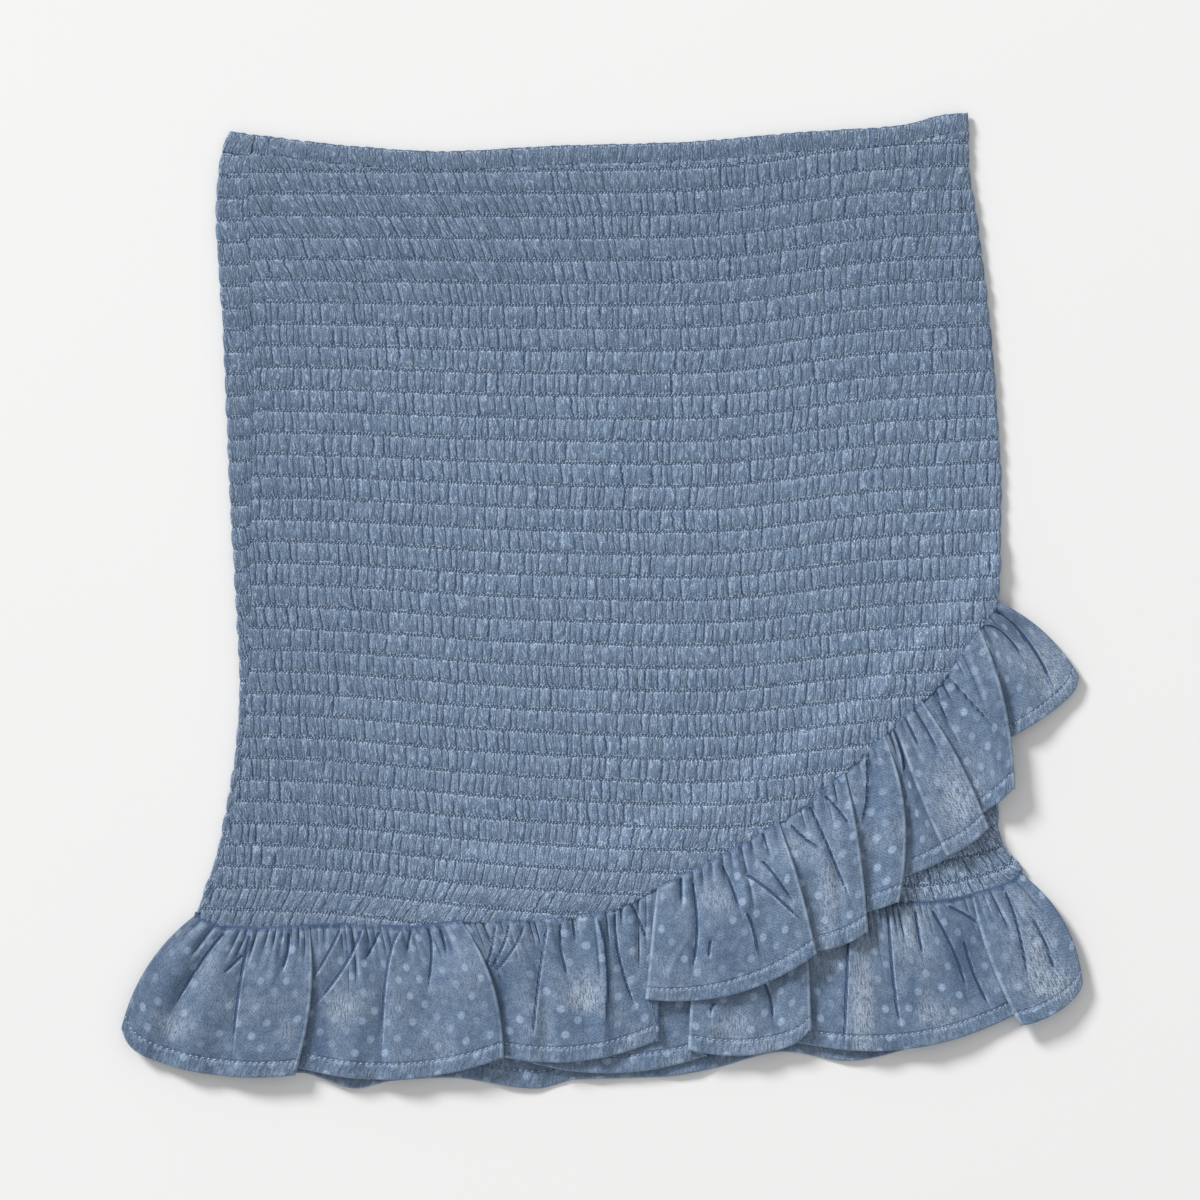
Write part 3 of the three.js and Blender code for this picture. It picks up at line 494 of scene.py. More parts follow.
# For each lobe, its creases: x and y at the top, the middle and the end, depth (below 0 is a ridge), width,
# and which of its sides stands up: 1 the right one, -1 the left one, 0 neither
CREASES = {
    "side": [
        (-165, -146.5, -175.6, -160, -189.6, -183, 1.2, 2.4, 0),
        (-153.6, -147.4, -158.4, -172, -161.5, -201, 1.1, 1.8, 1),
        (-157, -156, -161.5, -160.6, -166.3, -164.6, 0.5, 1.8, 0),
        (-143.9, -150.5, -143, -162.4, -145.2, -168.5, -0.7, 1.5, 0),
        (-136.8, -146.5, -137.3, -155.3, -140.4, -164.6, 0.9, 1.6, 0),
        (-178.6, -137.7, -191, -150.9, -198, -161.5, 0.4, 1.0, -1)],
    "left": [
        (-114.4, -144.8, -117.9, -152.7, -127.2, -168.5, 1.1, 1.6, 1),
        (-104.7, -144.8, -112.2, -161, -126.7, -180, 1.2, 1.7, 1),
        (-96.8, -145.6, -99.9, -152.2, -104.3, -159.7, 0.8, 1.4, 0),
        (-88, -145.6, -93.7, -164.6, -95.9, -203, 1.3, 1.6, 1),
        (-83.2, -145.6, -84, -150.5, -84.9, -155.3, 0.6, 1.2, 0),
        (-75.7, -144.3, -73.9, -155.3, -76.1, -173.4, 0.7, 2.0, 0),
        (-70.4, -144.3, -68.6, -150, -67.3, -155.8, 0.6, 1.3, 0)],
    "middle": [
        (-46, -143, -47.5, -153, -50.5, -163, 0.9, 1.2, 1), (-40, -143, -43, -153, -49.5, -164.5, 0.9, 1.2, 1),
        (-33.5, -143, -38, -153, -48.5, -166.5, 0.9, 1.3, 1),
        (-23.3, -144, -27.3, -170.7, -29.5, -194.5, 1.2, 1.6, 1),
        (-16.7, -141.7, -17.2, -152.2, -13.2, -168.5, 0.9, 1.6, 0),
        (-11.9, -139.5, -11.4, -145.2, -11, -150.9, 0.5, 1.2, 0),
        (-0.9, -139.9, 3.1, -161.5, 1.8, -192.3, 1.1, 1.5, -1), (6.6, -137.3, 8.8, -158.4, 17.2, -183, 0.8, 1.5, 0),
        (13.6, -133.3, 17.6, -141.7, 21.1, -150.5, 0.6, 1.4, 0)],
    "corner": [
        (40.5, -123.6, 42.7, -145.2, 39.6, -165, 0.9, 1.8, 0),
        (38.7, -149.2, 33.4, -157.5, 28.2, -173.8, -0.4, 1.2, 0),
        (53.2, -116.2, 57.6, -125, 62, -138.6, 1.0, 1.5, 0), (59.4, -115.7, 64.2, -128.5, 63.8, -136, -0.7, 1.3, 0),
        (64.2, -137.3, 67.3, -145.2, 69.5, -158.8, 0.6, 1.5, -1),
        (71.3, -114.4, 77.9, -122.3, 86.2, -134.6, 1.2, 1.7, 0),
        (64.2, -121, 74.8, -128, 91.5, -143.9, 0.9, 1.3, -1), (48.8, -149.2, 48, -153.1, 48, -157.5, 0.5, 1.2, 0)],
    "step": [
        (84, -98.6, 90.6, -105.2, 98.6, -110, 0.7, 1.4, 0), (92, -90.6, 99.4, -106.5, 112.2, -138.2, 1.2, 2.0, 0),
        (98.6, -85.8, 105.6, -93.3, 109.6, -99.9, 0.7, 1.3, 0)],
    "slip": [
        (117, -69.5, 117, -88, 113.5, -99.4, 0.7, 1.5, -1)],
    "hollow": [
        (128.9, -56.8, 132.9, -69.5, 132.9, -76.6, 0.6, 1.4, -1)],
    "pleat": [
        (137.5, -47, 143, -56, 150, -70, 0.7, 1.4, 0), (133.5, -50.5, 137, -58, 141, -66, 0.5, 1.2, 0)],
    "hip": [
        (147.5, -38, 150, -47, 155, -60, 0.5, 1.3, 0), (153.6, -33.9, 159.7, -41.4, 175.1, -58.1, 0.9, 1.4, 1),
        (157.5, -28.6, 161.5, -34.3, 165.9, -40, -0.6, 1.2, 0),
        (161, -24.2, 165.4, -30.8, 169.8, -37.8, -0.6, 1.2, 0)],
    "wing": [
        (169.4, -11.3, 178, -15.5, 187.2, -28, 0.9, 1.5, 0), (174, -5.5, 183, -12, 188, -21, 0.6, 1.3, 0),
        (183, -12, 192, -24, 199, -38, 0.6, 2.6, 0)],
    "front": [
        (50.6, -176.9, 49.3, -178.6, 48.4, -182.2, 0.5, 1.0, 0), (72, -168, 75, -176, 76, -186, 0.5, 2.4, 0)],
    "broad": [
        (109.1, -147, 108.2, -173.8, 106.9, -202, 1.0, 1.4, 1),
        (126.7, -138.2, 128.9, -166.8, 132.4, -191, 1.0, 1.4, 1),
        (138.6, -136, 139.9, -146.1, 142.1, -158.4, 0.8, 1.4, 0),
        (145.6, -136, 156.2, -156.2, 161, -173.4, 1.0, 2.2, 0),
        (153.1, -134.6, 161, -138.6, 167.2, -143, 0.8, 1.3, 0), (160, -150, 165, -166, 172, -180, 0.9, 6.0, 0)],
    "flare": [
        (178, -128, 184, -146, 188, -170, 0.7, 3.2, 0), (190, -140, 196, -152, 200, -166, 0.5, 3.0, 0)],
    "back": [
        (-163, -142, -170, -163, -180, -184, 1.0, 1.8, 0), (-141, -141, -144, -156, -150, -172, 0.8, 1.5, 1),
        (-118, -141, -121, -165, -123, -198, 1.1, 1.8, 1), (-97, -141, -96, -152, -99, -163, 0.7, 1.4, 0),
        (-72, -140, -76, -160, -77, -186, 1.0, 1.6, -1), (-44, -140, -43, -155, -47, -170, 0.8, 1.6, 0),
        (-19, -140, -20, -168, -18, -200, 1.1, 1.8, 1), (8, -139, 10, -151, 9, -160, 0.6, 1.3, 0),
        (31, -138, 35, -160, 37, -190, 1.0, 1.6, -1), (62, -137, 63, -152, 67, -168, 0.8, 1.5, 0),
        (88, -135, 92, -160, 93, -191, 1.0, 1.7, 1), (117, -132, 122, -148, 125, -160, 0.7, 1.4, 0),
        (143, -130, 151, -150, 157, -176, 1.1, 1.8, -1), (167, -126, 178, -143, 189, -160, 0.9, 1.6, 0)],
}

# x and y of a patch of painted light, a whitish painted highlight where the satin shines (above 0) and
# painted shade where it lies in a hollow (below 0), its half width and half height, and how strong it is
PAINTED_LIGHT_PATCHES = [
    (-186, -186, 8, 7, 0.7), (-138, -188, 4, 6, 0.6), (-114, -179, 9, 9, 0.9), (-7, -174, 8, 10, 1.2),
    (50, -130, 6, 7, 0.6), (101, -126, 6, 17, 0.8), (157, -89, 9, 12, 1.2), (193, -26, 15, 9, 0.8),
    (199, -38, 8, 6, 0.8), (115, -176, 5, 25, 1.3), (137, -146, 7, 20, 1.0), (190, -152, 9, 18, 1.0),
    (198, -169, 9, 6, 1.1), (60, -186, 9, 6, 0.6), (-40, -150, 7, 6, 0.5), (136, -60, 6, 10, 0.5),
    (72, -196, 14, 5, 0.5), (150, -182, 14, 6, 0.5), (-90, -175, 8, 20, 0.3), (88, -108, 7, 8, 0.5),
    (160, -156, 6, 13, -1.0), (-8, -185, 7, 4, -0.9), (-43.5, -172, 4, 20, -0.9), (197, -136, 6, 8, -0.6),
    (186, -150, 3, 11, -0.5), (137, -168, 3, 19, -0.7), (-123.6, -192, 5, 14, -0.7), (-190, -170, 7, 12, -0.4),
    (55, -156, 6, 12, -0.4), (-100, -190, 10, 5, -0.3), (120, -80, 4, 12, -0.5), (178, -45, 6, 9, -0.4),
]
# Rows down a ruffle as shares of its depth, closer in the hem, and the rows of its seam allowance: how far
# each reaches under the panel, how low it lies there, and how much of the way down it is
RUFFLE_ROWS = np.r_[np.linspace(0, 0.885, 48), np.linspace(0.898, 1, 9)]
TUCK_ROWS = [(1.6, -1.15, 0.75), (0.5, -0.75, 0.45)]
SETTLED = 0.4          # share of its depth in which a ruffle comes down to the height it rests at
COLUMN = 0.95          # between two columns of a lobe, at its hem
FULLNESS = 1.25        # cloth that is gathered into a length of 1 at the seam
SEAM_LOW = 0.9         # how far below the middle of the panel's cloth a ruffle is sewn on
LAP_CLEAR = 5.0        # loose shapes reach their full height this far from a lap
SOFT, SOFTNESS = 0.4, 0.8  # a ruffle's lowest parts flatten out over this height, and how softly
LAP_AT_SEAM = 1.3      # height that a folded lap adds at the seam
FAR = 9.0              # a distance too long for the material to show anything
SIDE_FAR = 20.0        # the same for the distance to a lap's edge
MARK_FREE = 0.8, 2     # gathers end this far from a listed crease, and are whole after that much more
BACK_SEAM, BACK_HEM_ENDS, BACK_HALF = (-176.6, 184.4), (-208.4, 209), 190
BACK_WAVES, BACK_LOW, BACK_HIGH, BACK_MEETS = 11, 0.45, 2.25, 4.1


def painted_light_at(x, y):
    """Sum of the patches of painted light at a place: each is a rounded bump, and none passes 1 or -1."""
    bumps = (strength * bell(np.hypot((x - at_x) / half_width, (y - at_y) / half_height), 1.0)
             for at_x, at_y, half_width, half_height, strength in PAINTED_LIGHT_PATCHES)
    return np.clip(sum(bumps), -1, 1)


def crease_fields(x, y, top, middle, end):
    """Distance from a crease, positive to its right, and share of the way along it. The crease is a parabola
    through its three points, taken as short straight steps."""
    t = np.linspace(0, 1, 15)[:, None]
    path = top * (1 - t) * (1 - 2 * t) + middle * 4 * t * (1 - t) + end * t * (2 * t - 1)
    best = np.full(x.shape, 1e9)
    signed, along = np.zeros(x.shape), np.zeros(x.shape)
    for i, (a, b) in enumerate(zip(path[:-1], path[1:])):
        step = b - a
        share = ((x - a[0]) * step[0] + (y - a[1]) * step[1]) / (step @ step)
        held = np.clip(share, 0, 1)
        dx, dy = x - a[0] - held * step[0], y - a[1] - held * step[1]
        distance = np.hypot(dx, dy)
        nearer = distance < best
        best = np.where(nearer, distance, best)
        signed = np.where(nearer, distance * np.sign(step[0] * dy - step[1] * dx), signed)
        along = np.where(nearer, (i + held) / (len(path) - 1), along)
    return signed, along


def crease_height(distance, depth, width, lip):
    """A soft trough, or with a lip a step: one side stands up and falls away slowly, the other dips."""
    if lip == 0:
        return -depth * bell(distance, width)
    across = distance * lip
    over = smooth((across + 0.45) / 0.9)
    return depth * (over * np.exp(-np.maximum(across, 0) / (2.6 * width))
                    - 0.4 * (1 - over) * np.exp(np.minimum(across, 0) / width))


def creases(lobe, x, y, across):
    """Height of the listed creases on one lobe, and the signed and the plain distance to the nearest
    trough. across is the distance from the lobe's sides, where they end."""
    height, signed, unsigned = np.zeros(x.shape), np.full(x.shape, FAR), np.full(x.shape, FAR)
    for *places, depth, width, lip in CREASES.get(lobe, ()):
        distance, along = crease_fields(x, y, *np.reshape(places, (3, 2)).astype(float))
        shown = smooth(along / 0.06 + 0.4) * smooth((1 - along) / 0.24) * smooth(across / 2)
        height = height + shown * crease_height(distance, 1.25 * depth, width, lip)
        plain = np.abs(distance) + 0.9 * (1 - shown)
        nearer = (plain < unsigned) & (depth > 0)
        signed = np.where(nearer, distance * (lip or 1), signed)
        unsigned = np.where(nearer, plain, unsigned)
    return height, signed, unsigned


def gathers(u, t, length, seed):
    """Small gathers below the seam: rounded ridges between narrow creases at random steps along it, each
    fading out at its own depth. Returns their height, how many creases lie left of each point, and how open
    the nearest one is."""
    rng = np.random.default_rng(seed)
    count = int(length / 2.2) + 8
    spots = np.cumsum(rng.gamma(2.6, 1.5, count) + 1.2) - 6
    phase = np.interp(u * length, spots, np.arange(count))
    left = np.clip(np.floor(phase).astype(int), 0, count - 2)
    f = phase - left
    strength, reach = rng.uniform(0.3, 1.3, count), np.minimum(0.03 + rng.exponential(0.12, count), 0.4)
    start = smooth(0.3 + t / 0.04)
    a, b = (strength[i] * smooth((reach[i] + 0.1 - t) / 0.14) * start for i in (left, left + 1))
    ridge = 1.2 * np.sin(np.pi * f) * start * (1 - smooth(t / 0.34))
    height = ridge - 1.1 * (a * bell(f, 0.18) + b * bell(1 - f, 0.18))
    return height, phase + 0 * t, np.where(f < 0.5, a, b)


def outward(edge, x):
    """The way out of a panel, square to its lower edge."""
    slope = edge(x + 0.5) - edge(x - 0.5)
    return unit(np.stack([slope, -np.ones_like(slope)], -1))


def seam_points(edge, x):
    """Points on a panel's lower edge, moved out by the seam's gap."""
    return np.stack([x, edge(x)], -1) + EDGE_GAP * outward(edge, x)


class Ruffle:
    """A gathered ruffle as one long grid: its lobes from left to right, with a folded lap, a Z in section,
    between each two. lowest is the least height that the middle of its cloth may have."""

    def __init__(self, lobes, edge, edge_mid, sizes, seed, lowest):
        self.sizes = sizes
        t = RUFFLE_ROWS[:, None]
        settled = smooth(t / SETTLED)
        strips, notes = [], []
        for i, lobe in enumerate(lobes):
            u = np.linspace(0, 1, int(lobe.width / COLUMN) + 3)[None]
            seam = seam_points(edge, mix(*lobe.seam, u))
            chord = lobe.hem_to - lobe.hem_from
            drawn_in = [c * np.exp(-end * lobe.width / 4) for c, end in zip(lobe.corners, (u, 1 - u))]
            sag = lobe.sag * 4 * u * (1 - u) - sum(drawn_in)
            hem = lobe.hem_from + u[..., None] * chord + sag[..., None] * np.array([chord[1], -chord[0]]) / lobe.width
            down = hem - seam
            sideways = unit(np.stack([-down[..., 1], down[..., 0]], -1))
            bow = mix(*lobe.bow, u) * 4 * t * (1 - t)
            plan = seam + down * t[..., None] + sideways * bow[..., None]
            x, y = plan[..., 0], plan[..., 1]
            z = mix(edge_mid(seam[..., 0], seam[..., 1]) - SEAM_LOW, mix(*lobe.rest, u), settled)
            z = z + lobe.height(u) * mix(LAP_AT_SEAM, sizes.lap_lift / MM, settled)
            # Loose shapes keep away from the laps, whose two sides have to stay parallel.
            across = np.minimum(u, 1 - u) * lobe.width
            free = smooth(across / LAP_CLEAR)
            gathered, phase, mark = gathers(u, t, abs(lobe.seam[1] - lobe.seam[0]) * FULLNESS, seed + i)
            z = z + free * (gathered + ripples(x, y, seed + 50 + i, 0.22) * smooth(t / 0.3))
            creased, signed, unsigned = creases(lobe.name, x, y, across)
            z = z + creased
            z = np.where(z < lowest + SOFT, lowest + SOFT * np.exp((z - (lowest + SOFT)) / SOFTNESS), z)
            strips.append(np.concatenate([plan, z[..., None]], -1))
            # The notes carry what the material paints: distances to the listed creases for their painted shade and
            # highlight, the distance to a lap's folded edge for its painted highlight, the gathers' phase and strength
            # for their painted shade, and the patches of painted light.
            from_sides = [np.where(on_top, share * lobe.width * mix(0.6, 1, t), SIDE_FAR)
                          for on_top, share in zip(lobe.on_top, (u, 1 - u))]
            # Gathers give way to the listed creases.
            mark = mark * free * smooth((unsigned - MARK_FREE[0]) / MARK_FREE[1])
            notes.append(np.stack([signed, unsigned, np.minimum(*from_sides) + 0 * x, phase + 100 * i, mark,
                                   painted_light_at(x, y)], -1))
        grid, fields = [strips[0]], [notes[0]]
        for before, after, noted, next_notes in zip(strips, strips[1:], notes, notes[1:]):
            lap = self.lap(before, after, t)
            plain = np.repeat(noted[:, -1:], lap.shape[1], 1)
            share = np.linspace(0, 1, lap.shape[1])
            plain[..., 2] = 6 * np.minimum(share, 1 - share)
            grid += [lap, after]
            fields += [plain, next_notes]
        self.finish(np.concatenate(grid, 1), np.concatenate(fields, 1), edge, edge_mid, lowest)

    def lap(self, before, after, t):
        """A folded lap: half a circle at the edge of the upper lobe, a flat return and half a circle into
        the lower one. It runs along the seam at first, then square to the lobes' edges."""
        start, end = before[:, -1], after[:, 0]
        drop = (start[:, 2] - end[:, 2])[:, None]
        radius, way = np.abs(drop) / 4, np.sign(drop)
        along = unit(before[0, -1, :2] - before[0, -4, :2])
        down = np.gradient((start + end)[:, :2], axis=0)
        square = unit(np.stack([-down[:, 1], down[:, 0]], -1))
        heading = unit(mix(along, square, smooth(t / 0.25)))
        first = []
        for f in np.linspace(0, 1, 7)[1:]:
            shift = heading * radius * np.sin(np.pi * f)
            first.append(np.c_[start[:, :2] + shift, start[:, 2:] - way * radius * (1 - np.cos(np.pi * f))])
        second = [start + end - point for point in first][::-1]
        gap = [mix(first[-1], second[0], f) for f in (0.25, 0.5, 0.75)]
        return np.stack(first + gap + second, 1)

    def finish(self, grid, fields, edge, edge_mid, lowest):
        """Adds the seam allowance above, the turned hem below and the cloth's thickness."""
        sizes, top = self.sizes, grid[0]
        across = np.linalg.norm(np.diff(grid, axis=1), axis=-1)
        self.cloth_x = np.r_[0, np.cumsum(np.maximum(across[-1], 0.8 * across[0]))]
        inward = -outward(edge, top[:, 0])
        under = edge_mid(top[:, 0], top[:, 1])
        tucks = [np.c_[top[:, :2] + inward * reach, np.maximum(mix(top[:, 2], under + low, share), lowest + 0.2)]
                 for reach, low, share in TUCK_ROWS]
        grid = np.concatenate([np.stack(tucks), grid], 0)
        self.fields = np.concatenate([fields[:1]] * len(TUCK_ROWS) + [fields], 0)
        self.rows = np.r_[[-reach / RUFFLE_DEPTH for reach, *_ in TUCK_ROWS], RUFFLE_ROWS]
        t = self.rows[:, None]
        # Two layers and a stitched groove make the hem, which puckers at random places 2.3 mm apart.
        band = sizes.hem_depth / MM / RUFFLE_DEPTH
        pucker = np.random.default_rng(11).uniform(-1, 1, 392)
        pucker = np.interp(self.cloth_x + 20 * t, np.arange(0, 900, 2.3), pucker)
        grid[..., 2] += -0.3 * bell(t - (1 - band), 0.01) + 0.28 * pucker * bell(t - 1 + band / 2, band * 0.7)
        grid[..., 2] = np.maximum(grid[..., 2], lowest)
        self.normals = unit(np.cross(np.gradient(grid, axis=0), np.gradient(grid, axis=1)))
        hem = smooth((t - (1 - band) + 0.006) / 0.012)
        thick = sizes.cloth / MM * mix(1, 1.9, hem) * mix(1, 0.55, smooth((t - 0.99) / 0.01))
        half = (thick / 2)[..., None] * self.normals
        self.middle, self.outer, self.inner = grid, grid + half, grid - half

    def build(self, name, material):
        """A closed shell: the outer grid, the inner one turned round, and a rim of quads between them."""
        shape = self.middle.shape[:2]
        outer = np.arange(shape[0] * shape[1]).reshape(shape)
        inner = outer + outer.size
        rim = [quads(np.stack([inner[0], outer[0]])), quads(np.stack([outer[-1], inner[-1]])),
               quads(np.stack([inner[:, 0], outer[:, 0]], 1)), quads(np.stack([outer[:, -1], inner[:, -1]], 1))]
        faces = np.concatenate([quads(outer), quads(inner)[:, ::-1], *rim])
        points = np.concatenate([self.outer.reshape(-1, 3), self.inner.reshape(-1, 3)])
        to_hem = (1 - self.rows[:, None]) * RUFFLE_DEPTH + np.zeros(shape)
        lengths = np.linalg.norm(np.diff(self.middle, axis=0), axis=-1)
        up_cloth = np.concatenate([np.cumsum(lengths[::-1], 0)[::-1], np.zeros((1, shape[1]))])
        values = {"cloth": np.stack([self.cloth_x + np.zeros(shape), up_cloth], -1),
                  "creases": self.fields[..., :2], "edges": np.stack([self.fields[..., 2], to_hem], -1),
                  "gathers": self.fields[..., 3:5], "painted_light": self.fields[..., [5, 5]]}
        layers = {layer: [np.concatenate([value.reshape(-1, 2)] * 2)[faces]] for layer, value in values.items()}
        return add_object(name, points, [faces], material, layers)

    def sewn(self):
        """Topstitching along the turned hem."""
        row = np.argmin(np.abs(self.rows - (1 - self.sizes.hem_depth / MM / RUFFLE_DEPTH)))
        return stitches(self.outer[row], self.normals[row], self.sizes.stitch / MM, 0.8, 0.2, 0.6)


class BackRuffle(Ruffle):
    """The back ruffle: an even wave across it, and both ends turned up to meet the front ruffles."""

    def __init__(self, sizes):
        self.sizes = sizes
        t, u = RUFFLE_ROWS[:, None], np.linspace(0, 1, 400)[None]
        seam = seam_points(back_edge, mix(*BACK_SEAM, u))
        hem_x = mix(*BACK_HEM_ENDS, u)
        side = 2 * u - 1
        x = mix(seam[..., 0], hem_x, t) + mix(1.2, 4.5, u) * side ** 7 * 4 * t * (1 - t)
        y = mix(seam[..., 1], back_hem(hem_x), t)
        wave = (1 - np.cos(2 * np.pi * BACK_WAVES * u)) / 2
        ends = smooth((1 - np.abs(side)) * 15)
        z = mix(0.5, mix(1.5, 2.1, t), wave * ends)
        gathered, phase, mark = gathers(u, t, 2 * BACK_HALF, 77)
        z = z + 0.35 * ends * gathered * smooth((z - 0.6) / 0.8)
        # Its outer side faces down, so its troughs are raised.
        creased, signed, unsigned = creases("back", x, y, (1 - np.abs(side)) * BACK_HALF + 0 * t)
        strip = np.stack([x, y, np.clip(z - 0.9 * creased, BACK_LOW, BACK_HIGH)], -1)
        # Quarter circles turn both ends up.
        radius = (mix(FRONT_MID, BACK_MEETS, smooth(t[:, 0] / 0.45)) - BACK_LOW) / 2
        ups = []
        for column, way in ((0, -1), (-1, 1)):
            ups.append([strip[:, column] + np.stack([way * radius * np.sin(angle), 0 * radius,
                                                     radius * (1 - np.cos(angle))], -1)
                        for angle in np.linspace(0, np.pi / 2, 6)[1:]])
        left, right = np.stack(ups[0][::-1], 1), np.stack(ups[1], 1)
        grid = np.concatenate([left, strip, right], 1)
        fields = np.zeros(grid.shape[:2] + (6,)) + (FAR, FAR, SIDE_FAR, 0.5, 0.0, 0.0)
        mark = mark * ends * smooth((unsigned - MARK_FREE[0]) / MARK_FREE[1])
        fields[:, left.shape[1]:-right.shape[1]] = np.stack(
            [signed, unsigned, SIDE_FAR + 0 * x, phase, mark, painted_light_at(-x, y)], -1)
        self.finish(grid, fields, back_edge, lambda x, y: BACK_MID + 0.7 + 0 * x, BACK_LOW)


# ---------------------------------------------------------------- finishes
STEP = {"interpolation_type": "SMOOTHSTEP"}
PLANE = {"noise_dimensions": "2D"}
TIMES, TIMES_PLUS = {"operation": "MULTIPLY"}, {"operation": "MULTIPLY_ADD"}
PLUS, LARGER, UNSIGNED = {"operation": "ADD"}, {"operation": "MAXIMUM"}, {"operation": "ABSOLUTE"}
WITHIN_STEP, WITHIN_ONE = {"operation": "PINGPONG"}, {"operation": "FRACT"}


def add(tree, kind, *inputs, out=0, **settings):
    """Adds a shader node. inputs are the values, or the outputs to link, of its first sockets. Settings that
    start with a capital are sockets too, by name, and the others are the node's own. Returns an output."""
    made = tree.nodes.new("ShaderNode" + kind)
    sockets = dict(enumerate(inputs))
    for key, value in settings.items():
        if key[0].isupper():
            sockets[key.replace("_", " ")] = value
        else:
            setattr(made, key, value)
    for socket, value in sockets.items():
        if isinstance(value, bpy.types.NodeSocket):
            tree.links.new(value, made.inputs[socket])
        else:
            made.inputs[socket].default_value = value
    return made.outputs[out] if made.outputs else None


def new_material(name):
    """A new material without nodes, and a short way to add them."""
    material = bpy.data.materials.new(name)
    material.use_nodes = True
    material.node_tree.nodes.clear()
    return material, partial(add, material.node_tree)


def close_material(node, colour, bump, distance, roughness, sheen):
    """Woven satin: a soft broad gloss, with a faint sheen towards grazing views."""
    normal = node("Bump", Strength=1.0, Distance=distance, Height=bump)
    shader = node("BsdfPrincipled", Base_Color=colour, Roughness=roughness, Normal=normal, IOR=1.45,
                  Specular_IOR_Level=0.42, Sheen_Weight=sheen, Sheen_Roughness=0.35,
                  Sheen_Tint=(0.82, 0.88, 1.0, 1.0))
    node("OutputMaterial", shader)


def painted_shade_gradient(node):
    """Painted shade: a factor from 0.87 to 1 that darkens the satin towards the waist and on the left, where the
    gathers lie tightest.
    """
    x, y, _ = node("SeparateXYZ", node("TexCoord", out=3)).node.outputs
    up = node("MapRange", y, 0.06, 0.17, 1.0, 0.87, **STEP)
    left = node("MapRange", x, -0.06, -0.16, 1.0, 0.88, **STEP)
    return node("Math", up, left, operation="MINIMUM")


